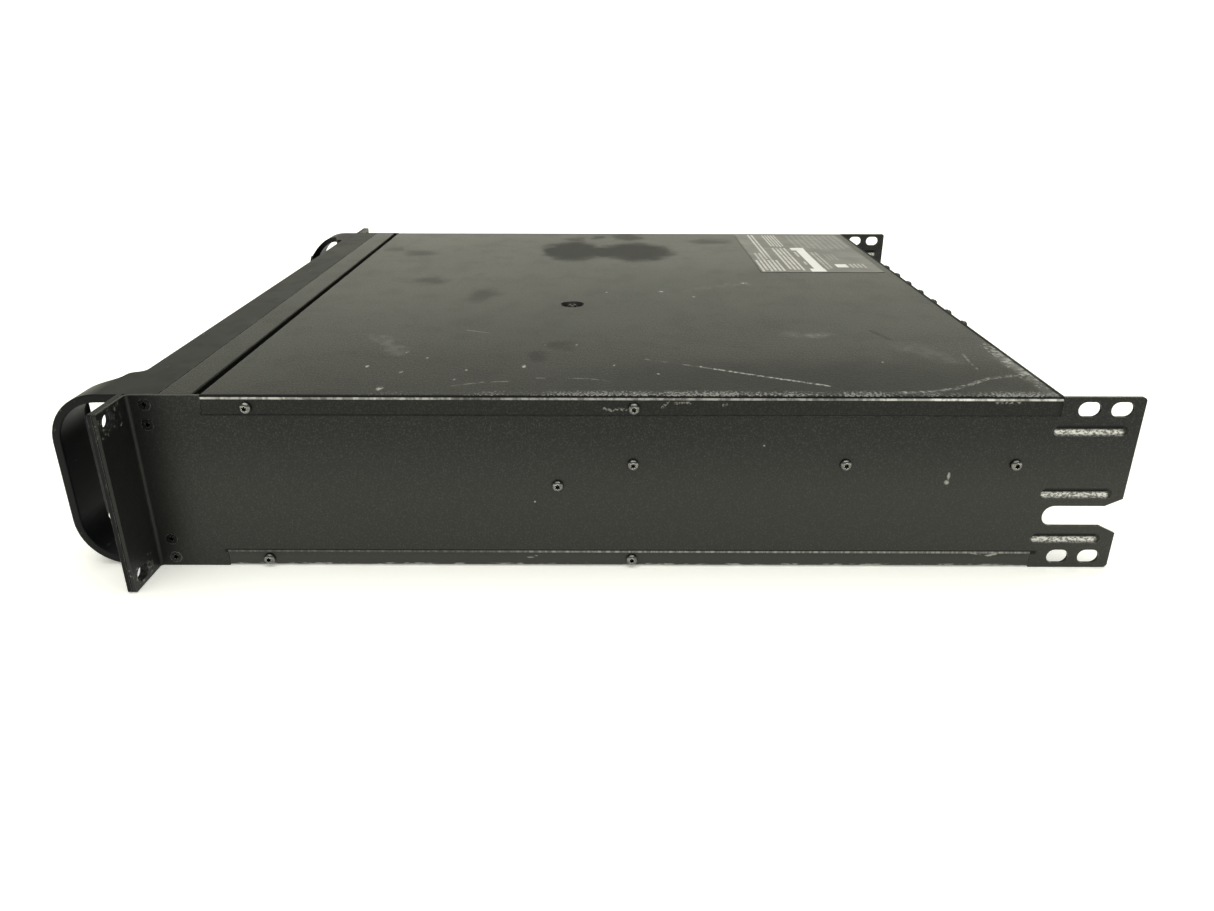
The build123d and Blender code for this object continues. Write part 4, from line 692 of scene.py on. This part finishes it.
def circuit_board(name):
    """Green solder mask over copper tracks, with pads."""
    f = Finish(name)
    lanes = f.node("ShaderNodeTexBrick")
    f.feed(lanes.inputs["Vector"], f.vector("MULTIPLY", f.place, (110, 70, 90)))
    tracks = lanes.outputs["Fac"]
    colour = f.mix(tracks, (0.012, 0.085, 0.035), (0.022, 0.140, 0.055))
    pads = f.specks(0.0055, 0.0009, 0.5)
    colour = f.mix(pads, colour, (0.50, 0.48, 0.42))
    f.relief(tracks, 0.00005, 0.6)
    return f.done(colour, f.ramp(pads, 0, 1, 0.30, 0.45))


def winding(name):
    """Enamelled wire under clear tape, its turns fanning round the transformer's axis, with painted
    shade in the grooves between them.
    """
    f = Finish(name, Coat_Weight=0.25, Coat_Roughness=0.25)
    low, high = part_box("power_transformer")
    centre = (low + high) / 2
    offset = f.vector("SUBTRACT", f.place, (centre.x, centre.y, 0))
    angle = f.math("ARCTAN2", f.part(1, offset), f.part(0, offset))
    turns = f.math("SINE", f.math("MULTIPLY", angle, 190.0))
    ridge = f.ramp(turns, -1.0, 1.0)
    # Painted shade in the grooves between turns, against lighter crests
    colour = f.mix(ridge, (0.060, 0.018, 0.006), (0.30, 0.110, 0.035))
    colour = f.mix(f.ramp(f.noise(0.02, 3), 0.5, 0.7, 0, 0.5), colour, (0.16, 0.06, 0.02))
    f.relief(ridge, 0.0004, 0.8)
    return f.done(colour, f.ramp(f.noise(0.004, 3), 0.3, 0.7, 0.28, 0.42))


# ---------------------------------------------------------------- printed label

LABEL_BLOCKS = (
    # x range, y range, line pitch and strength of each block of bars, in millimetres
    ((-96, -55), (330.8, 348.5), 3.05, 0.9),
    ((-124, -96), (333.9, 346.0), 3.05, 0.7),
    ((-208, -121), (340.0, 346.0), 3.05, 0.9),
    ((-146, -55), (351.4, 363.6), 3.10, 0.9),
    ((-206, -151), (352.4, 363.8), 2.45, 0.8),
    ((-130, -110), (366.4, 369.0), 3.20, 0.8),
    ((-91, -80), (366.4, 369.0), 3.20, 0.8),
    ((-128, -56), (379.4, 385.8), 3.10, 0.5),
    ((-206, -140), (372.0, 417.0), 4.60, 0.16),
    ((-122, -96), (388.0, 396.5), 3.00, 0.2),
    ((-83, -68), (399.0, 411.5), 3.10, 0.6),
)
LABEL_STRIP = (-137, -57), (370.4, 377.4)
LABEL_BRACKETS = ((-147, -136), (-65, -55)), (367.0, 377.8)
LABEL_CHIP = (-81, -70), (388.8, 397.2)


def printed_label(name):
    """Grey printed film: blocks of plain bars in place of text, and a white blank strip."""
    f = Finish(name)
    x, y = f.part(0), f.part(1)

    def patch(x_range, y_range, soft=0.15):
        across = f.band(x, x_range[0] * MM, x_range[1] * MM, soft * MM)
        return f.times(across, f.band(y, y_range[0] * MM, y_range[1] * MM, soft * MM))

    bars = []
    for x_range, y_range, pitch, strength in LABEL_BLOCKS:
        lines = f.math("DIVIDE", f.math("SUBTRACT", y, y_range[0] * MM), pitch * MM)
        ragged = f.node("ShaderNodeTexWhiteNoise", noise_dimensions="1D")
        f.feed(ragged.inputs["W"], f.math("ADD", f.math("FLOOR", lines), y_range[0]))
        shortfall = 0.15 * (x_range[1] - x_range[0]) * MM
        end = f.math("MULTIPLY_ADD", ragged.outputs["Value"], -shortfall, x_range[1] * MM)
        bars.append(
            f.times(
                patch(x_range, y_range),
                f.math("LESS_THAN", x, end),
                f.band(f.math("FRACT", lines), 0.25, 0.68, 0.10),
                strength,
            )
        )
    words = f.ramp(f.noise(0.0022, 2, (1, 0.2, 1)), 0.34, 0.44, 0.35, 1)
    brackets = [patch(span, LABEL_BRACKETS[1]) for span in LABEL_BRACKETS[0]]
    white = f.most(patch(*LABEL_STRIP), patch(*LABEL_CHIP), *brackets)
    inset = 1.4
    inner_x = (LABEL_LOW.x / MM + inset, LABEL_HIGH.x / MM - inset)
    inner_y = (LABEL_LOW.y / MM + inset, LABEL_HIGH.y / MM - inset)
    rim = f.math("SUBTRACT", 1.0, patch(inner_x, inner_y, 0.4))
    clouds = f.ramp(f.noise(0.02, 4), 0.35, 0.7)
    rubbed = f.ramp(f.noise(0.006, 5, (1, 0.3, 1), shift=2.0), 0.56, 0.70)
    colour = f.mix(clouds, (0.115, 0.112, 0.100), (0.148, 0.144, 0.128))
    colour = f.mix(f.times(f.most(*bars), words), colour, (0.58, 0.57, 0.52))
    colour = f.mix(f.times(rim, 0.75), colour, (0.05, 0.05, 0.046))
    colour = f.mix(white, colour, PRINT_WHITE)
    colour = f.mix(f.times(rubbed, 0.25), colour, (0.33, 0.33, 0.30))
    f.relief(f.noise(0.0018, 3), 0.00002, 0.3)
    return f.done(colour, f.ramp(clouds, 0, 1, 0.40, 0.52))


def printed_ink(name, colour):
    """Screen-printed ink, slightly uneven and rubbed."""
    f = Finish(name)
    worn = f.ramp(f.noise(0.0012, 4), 0.56, 0.70)
    shade = f.mix(f.times(worn, 0.5), colour, tuple(0.25 * c for c in colour))
    f.relief(f.noise(0.0004, 2), 0.00001, 0.4)
    return f.done(shade, f.ramp(f.noise(0.003, 3), 0.3, 0.7, 0.45, 0.6))


# ---------------------------------------------------------------- finishes on the nodes


def paint(material, *names):
    for name in names:
        slots = NODES[name].data.materials
        slots.clear()
        slots.append(material)


paint(powder_coat("coat_top", COVER_GLOSS, top_marks, fold_marks), "top_cover")
paint(powder_coat("coat_side", SIDE_GLOSS, side_marks), "side_panel_right", "side_panel_left")
paint(powder_coat("coat_pan", SIDE_GLOSS, pan_marks), "bottom_pan")
paint(
    powder_coat("coat_plain", SHEET_GLOSS),
    "front_bulkhead",
    "rear_panel",
    "transformer_clamp",
)
paint(
    moulded_black(
        "fascia_plastic", FASCIA_DARK, FASCIA_LIGHT, 0.46, rim_wear_and_highlight=0.60, gloss=FASCIA_GLOSS
    ),
    "fascia",
)
paint(
    moulded_black("grille_plastic", (0.010, 0.010, 0.010), (0.020, 0.020, 0.021), 0.5, 0.0004),
    "intake_grille_left",
    "intake_grille_right",
)
paint(filter_foam("foam_grey"), "filter_foams")
paint(
    moulded_black("panel_plastic", (0.018, 0.018, 0.020), (0.030, 0.030, 0.033), 0.38),
    "control_panel",
)
paint(lamp_lens("lens_tinted"), "lamp_lenses")
paint(
    circuit_board("board_mask"),
    "control_board",
    "input_board",
    "amplifier_board",
    "supply_board",
)
paint(
    metal("control_steel", (0.62, 0.61, 0.58), 0.30, (1, 6, 1)),
    "level_pot_1",
    "level_pot_2",
    "level_shaft_1",
    "level_shaft_2",
)
paint(
    moulded_black("knob_rubber", (0.012, 0.012, 0.013), (0.024, 0.024, 0.025), 0.58),
    "level_knob_1",
    "level_knob_2",
)
paint(
    moulded_black("switch_nylon", (0.010, 0.010, 0.011), (0.018, 0.018, 0.019), 0.34),
    "power_switch_frame",
)
paint(
    moulded_black("rocker_nylon", (0.008, 0.008, 0.009), (0.015, 0.015, 0.016), 0.28),
    "power_rocker",
)
paint(
    moulded_black("fan_nylon", (0.012, 0.012, 0.013), (0.024, 0.024, 0.026), 0.5),
    "fan_frame_1",
    "fan_frame_2",
)
paint(
    metal("guard_chrome", (0.60, 0.60, 0.61), 0.22, tarnish=(0.25, 0.24, 0.23)),
    "fan_guard_1",
    "fan_guard_2",
)
paint(
    moulded_black("connector_nylon", (0.009, 0.009, 0.010), (0.018, 0.018, 0.019), 0.36),
    "mains_inlet",
    "mode_switch",
    "mode_lever",
    "breaker_body",
    "breaker_button",
    "speaker_socket_1",
    "speaker_socket_2",
    "input_latch_1",
    "input_latch_2",
)
paint(
    metal("connector_nickel", (0.30, 0.30, 0.31), 0.34, tarnish=(0.14, 0.14, 0.145)),
    "input_socket_1",
    "input_socket_2",
    "breaker_nut",
)
paint(metal("pin_brass", (0.72, 0.52, 0.22), 0.26, (1, 8, 1)), "inlet_pins")
paint(metal("zinc_steel", (0.56, 0.57, 0.58), 0.34), "board_standoffs", "cover_post")
paint(
    screw_finish("screw_bright", (0.19, 0.19, 0.18), (0.10, 0.10, 0.10), (0.78, 0.78, 0.75)),
    "side_screws",
)
paint(
    screw_finish("screw_black", (0.050, 0.050, 0.050), (0.024, 0.024, 0.024), (0.24, 0.24, 0.23)),
    "cover_screw",
    "fascia_screws",
    "rear_edge_screws",
    "rear_panel_screws",
)
paint(
    metal("sink_aluminium", (0.68, 0.69, 0.70), 0.36, (1, 0.05, 1)),
    "heat_sink_left",
    "heat_sink_right",
)
paint(
    moulded_black(
        "component_resin", (0.012, 0.012, 0.013), (0.026, 0.026, 0.028), 0.42, 0.0004, 0.25
    ),
    "output_relays",
    "filter_capacitors",
    "power_transistors",
)
paint(winding("winding_enamel"), "power_transformer", "output_inductors")
paint(printed_label("label_film"), "rating_label")

# ---------------------------------------------------------------- mesh helpers

LATHE_SEGMENTS = 64


def add_piece(name, mesh, material, body):
    """Puts a finished mesh, made in the row frame, into the scene on its CAD body."""
    piece = bpy.data.objects.new(name, mesh)
    bpy.context.scene.collection.objects.link(piece)
    mesh.materials.append(material)
    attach(piece, body)
    return piece


def finish_mesh(built, name, smooth=False):
    """Turns a bmesh into a mesh, with its normals outward."""
    bmesh.ops.recalc_face_normals(built, faces=built.faces)
    mesh = bpy.data.meshes.new(name)
    built.to_mesh(mesh)
    built.free()
    if smooth:
        mesh.shade_smooth()
    return mesh


def add_bar(built, centre, size, turn=Matrix.Identity(3)):
    """Box of the given size about a centre, turned about it."""
    placed = Matrix.Translation(centre) @ turn.to_4x4() @ Matrix.Diagonal((*size, 1))
    bmesh.ops.create_cube(built, size=1.0, matrix=placed)


def add_lathe(built, centre, profile):
    """Closed solid turned about a line along Y, from a profile of (radius, y)."""
    rings = []
    for radius, y in profile:
        if radius == 0:
            rings.append([built.verts.new(centre + Vector((0, y, 0)))])
            continue
        ring = []
        for i in range(LATHE_SEGMENTS):
            turn = tau * i / LATHE_SEGMENTS
            place = centre + Vector((radius * cos(turn), y, radius * sin(turn)))
            ring.append(built.verts.new(place))
        rings.append(ring)
    for first, second in zip(rings, rings[1:]):
        for i in range(LATHE_SEGMENTS):
            j = (i + 1) % LATHE_SEGMENTS
            corners = ((first, i), (first, j), (second, j), (second, i))
            loop = [ring[k % len(ring)] for ring, k in corners]
            built.faces.new(list(dict.fromkeys(loop)))


def add_shell(built, grid, thickness):
    """Closed plate of even thickness about a grid of points."""
    rows, columns = len(grid), len(grid[0])
    sheets = []
    for side in (-0.5, 0.5):
        sheet = []
        for i in range(rows):
            line = []
            for j in range(columns):
                along = grid[min(i + 1, rows - 1)][j] - grid[max(i - 1, 0)][j]
                across = grid[i][min(j + 1, columns - 1)] - grid[i][max(j - 1, 0)]
                outward = along.cross(across).normalized()
                line.append(built.verts.new(grid[i][j] + side * thickness * outward))
            sheet.append(line)
        sheets.append(sheet)
    for sheet in sheets:
        for near, far in zip(sheet, sheet[1:]):
            for j in range(columns - 1):
                built.faces.new((near[j], far[j], far[j + 1], near[j + 1]))
    border = [(i, 0) for i in range(rows)]
    border += [(rows - 1, j) for j in range(1, columns)]
    border += [(i, columns - 1) for i in range(rows - 2, -1, -1)]
    border += [(0, j) for j in range(columns - 2, 0, -1)]
    for (i, j), (k, m) in zip(border, border[1:] + border[:1]):
        built.faces.new((sheets[0][i][j], sheets[0][k][m], sheets[1][k][m], sheets[1][i][j]))


# ---------------------------------------------------------------- printed dials

INK = printed_ink("ink_white", (0.62, 0.62, 0.60))
INK_DEPTH = 0.06 * MM
DIAL_STEPS = 11
DIAL_SWEEP = radians(300)
TICK_INNER, TICK_OUTER = 15.8 * MM, 17.6 * MM
NUMBER_RADIUS = 20.2 * MM
NUMBER_HEIGHT = 2.9 * MM
FACE_Y = PANEL_FRONT - 0.4 * INK_DEPTH


def number_mesh(text, place):
    """Flat digits with a little thickness, facing the front, centred on a place."""
    curve = bpy.data.curves.new(f"digits_{text}", "FONT")
    curve.body = text
    curve.size = NUMBER_HEIGHT
    curve.extrude = INK_DEPTH / 2
    curve.align_x, curve.align_y = "CENTER", "CENTER"
    carrier = bpy.data.objects.new(curve.name, curve)
    mesh = bpy.data.meshes.new_from_object(carrier)
    bpy.data.objects.remove(carrier)
    bpy.data.curves.remove(curve)
    mesh.transform(Matrix.Translation(place) @ Matrix.Rotation(pi / 2, 4, "X"))
    return mesh


for number in (1, 2):
    knob_low, knob_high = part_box(f"level_knob_{number}")
    hub = (knob_low + knob_high) / 2
    dial = bmesh.new()
    for step in range(DIAL_STEPS):
        angle = DIAL_SWEEP * (step / (DIAL_STEPS - 1) - 0.5)
        outward = Vector((sin(angle), 0, cos(angle)))
        tick = (0.45 * MM, INK_DEPTH, TICK_OUTER - TICK_INNER)
        middle = Vector((hub.x, FACE_Y, hub.z)) + outward * (TICK_INNER + TICK_OUTER) / 2
        add_bar(dial, middle, tick, Matrix.Rotation(angle, 3, "Y"))
        digits = number_mesh(str(step), Vector((hub.x, FACE_Y, hub.z)) + outward * NUMBER_RADIUS)
        dial.from_mesh(digits)
        bpy.data.meshes.remove(digits)
    add_piece(f"dial_marks_{number}", finish_mesh(dial, "dial_marks"), INK, "chassis")

    # White insert in the knob's pointer groove
    pointer = bmesh.new()
    middle = Vector((hub.x, knob_low.y + 0.55 * MM, hub.z + 5.2 * MM))
    add_bar(pointer, middle, (1.2 * MM, 0.7 * MM, 6.8 * MM))
    bmesh.ops.bevel(pointer, geom=pointer.edges, offset=0.12 * MM, segments=2, affect="EDGES")
    mesh = finish_mesh(pointer, "knob_pointer")
    add_piece(f"knob_pointer_{number}", mesh, INK, f"level_knob_{number}")

# On and off marks on the two halves of the rocker's face
rocker = NODES["power_rocker"]
rocker_low, rocker_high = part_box("power_rocker")
marks = bmesh.new()
for share, shape in ((0.78, "bar"), (0.24, "ring")):
    height = rocker_low.z + share * (rocker_high.z - rocker_low.z)
    start = Vector((0, rocker_low.y - 10 * MM, height))
    _, spot, outward, _ = rocker.ray_cast(start, Vector((0, 1, 0)))
    turn = outward.to_track_quat("-Y", "Z").to_matrix()
    if shape == "bar":
        add_bar(marks, spot, (0.8 * MM, INK_DEPTH, 4.0 * MM), turn)
        continue
    for step in range(24):
        angle = tau * step / 24
        place = spot + turn @ (Vector((sin(angle), 0, cos(angle))) * 1.8 * MM)
        tilt = turn @ Matrix.Rotation(angle, 3, "Y")
        add_bar(marks, place, (0.6 * MM, INK_DEPTH, 0.6 * MM), tilt)
add_piece("rocker_marks", finish_mesh(marks, "rocker_marks"), INK, "power_rocker")

# ---------------------------------------------------------------- fan rotors

ROTOR = moulded_black("rotor_curved", (0.010, 0.010, 0.011), (0.020, 0.020, 0.022), 0.42)
BLADES = 7
BLADE_ROWS, BLADE_COLUMNS = 9, 7
BLADE_ROOT, BLADE_TIP = 13.6 * MM, 31.7 * MM
BLADE_THICKNESS = 1.0 * MM
HUB_RADIUS = 14.6 * MM
HUB_ROUND = 1.4 * MM
HUB_RECESS = 0.5 * MM
ROTOR_DEPTH = 11.0 * MM


def blade_grid(centre, turn):
    """Points of one swept, twisted and cambered blade about the fan's axis."""
    grid = []
    for i in range(BLADE_ROWS):
        out = i / (BLADE_ROWS - 1)
        radius = BLADE_ROOT + out * (BLADE_TIP - BLADE_ROOT)
        pitch = radians(50 - 20 * out)
        chord = (12.0 + 4.5 * out) * MM
        sweep = radians(14) * out**1.6
        line = []
        for j in range(BLADE_COLUMNS):
            along = j / (BLADE_COLUMNS - 1) - 0.5
            camber = 1.3 * MM * (1 - 4 * along * along)
            around = along * chord * cos(pitch) - camber * sin(pitch)
            depth = along * chord * sin(pitch) + camber * cos(pitch)
            angle = turn + sweep + around / radius
            line.append(centre + Vector((radius * cos(angle), depth, radius * sin(angle))))
        grid.append(line)
    return grid


for number in (1, 2):
    low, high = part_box(f"fan_rotor_{number}")
    centre = (low + high) / 2
    centre.y = high.y - ROTOR_DEPTH / 2
    rotor = bmesh.new()
    for blade in range(BLADES):
        add_shell(rotor, blade_grid(centre, tau * blade / BLADES), BLADE_THICKNESS)
    rear = ROTOR_DEPTH / 2
    profile = [(0, -rear), (HUB_RADIUS, -rear)]
    for step in range(7):
        turn = radians(15 * step)
        out = HUB_RADIUS - HUB_ROUND + HUB_ROUND * cos(turn)
        profile.append((out, rear - HUB_ROUND + HUB_ROUND * sin(turn)))
    floor_y = rear - HUB_RECESS
    profile += [(6.2 * MM, rear), (5.8 * MM, floor_y), (0, floor_y)]
    add_lathe(rotor, centre, profile)
    mesh = finish_mesh(rotor, "fan_rotor_curved")
    piece = add_piece(f"fan_blades_{number}", mesh, ROTOR, f"fan_rotor_{number}")
    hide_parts(f"fan_rotor_{number}")

# ---------------------------------------------------------------- studio

floor_mesh = bpy.data.meshes.new("floor")
floor_build = bmesh.new()
bmesh.ops.create_circle(
    floor_build,
    cap_ends=True,
    segments=64,
    radius=6.0,
    matrix=Matrix.Translation((0, 0.2, cad_low.z - 0.0002)),
)
floor_build.to_mesh(floor_mesh)
floor_build.free()
floor = bpy.data.objects.new("floor", floor_mesh)
bpy.context.scene.collection.objects.link(floor)
floor_finish = Finish("floor_pale", Emission_Color=(1.0, 1.0, 0.95, 1.0), Emission_Strength=0.30)
floor_shade = floor_finish.mix(floor_finish.noise(0.4, 3), (0.93, 0.93, 0.86), (0.95, 0.95, 0.88))
floor_mesh.materials.append(floor_finish.done(floor_shade, 0.8))
floor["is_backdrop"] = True

# Sky dome: bright round the horizon, dim overhead, slightly warm
SKY_TINT = (1.0, 1.0, 0.82, 1.0)
SKY_FADE = (0.04, 0.37)
SKY_STRENGTH = (2.45, 0.14)
world = bpy.data.worlds.new("studio")
world.use_nodes = True
sky = world.node_tree.nodes["Background"]
compass = world.node_tree.nodes.new("ShaderNodeTexCoord")
height = world.node_tree.nodes.new("ShaderNodeSeparateXYZ")
fade = world.node_tree.nodes.new("ShaderNodeMapRange")
fade.interpolation_type = "SMOOTHSTEP"
for socket, value in zip(fade.inputs[1:5], (*SKY_FADE, *SKY_STRENGTH)):
    socket.default_value = value
world.node_tree.links.new(compass.outputs["Generated"], height.inputs[0])
world.node_tree.links.new(height.outputs[2], fade.inputs[0])
world.node_tree.links.new(fade.outputs[0], sky.inputs["Strength"])
sky.inputs["Color"].default_value = SKY_TINT
bpy.context.scene.world = world

# One very wide overhead light, as soft as a ceiling of diffusers
ceiling = bpy.data.lights.new("ceiling", "SUN")
ceiling.energy = 2.9
ceiling.angle = radians(75)
ceiling_holder = bpy.data.objects.new("ceiling", ceiling)
bpy.context.scene.collection.objects.link(ceiling_holder)

CAMERA_PLACE = (0.60469, 0.21827, 0.18224)
CAMERA_PITCH = 0.406095
CAMERA_ROLL = -0.002157
CAMERA_YAW = 0.000883
lens = bpy.data.cameras.new("camera")
lens.lens = 27.014
lens.sensor_width = 36.0
camera = bpy.data.objects.new("camera", lens)
camera.location = CAMERA_PLACE
camera.rotation_euler = (pi / 2 - CAMERA_PITCH, CAMERA_ROLL, pi / 2 + CAMERA_YAW)
bpy.context.scene.collection.objects.link(camera)
bpy.context.scene.camera = camera
bpy.context.scene.view_settings.view_transform = "Standard"

# ---------------------------------------------------------------- bounds

low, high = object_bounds()
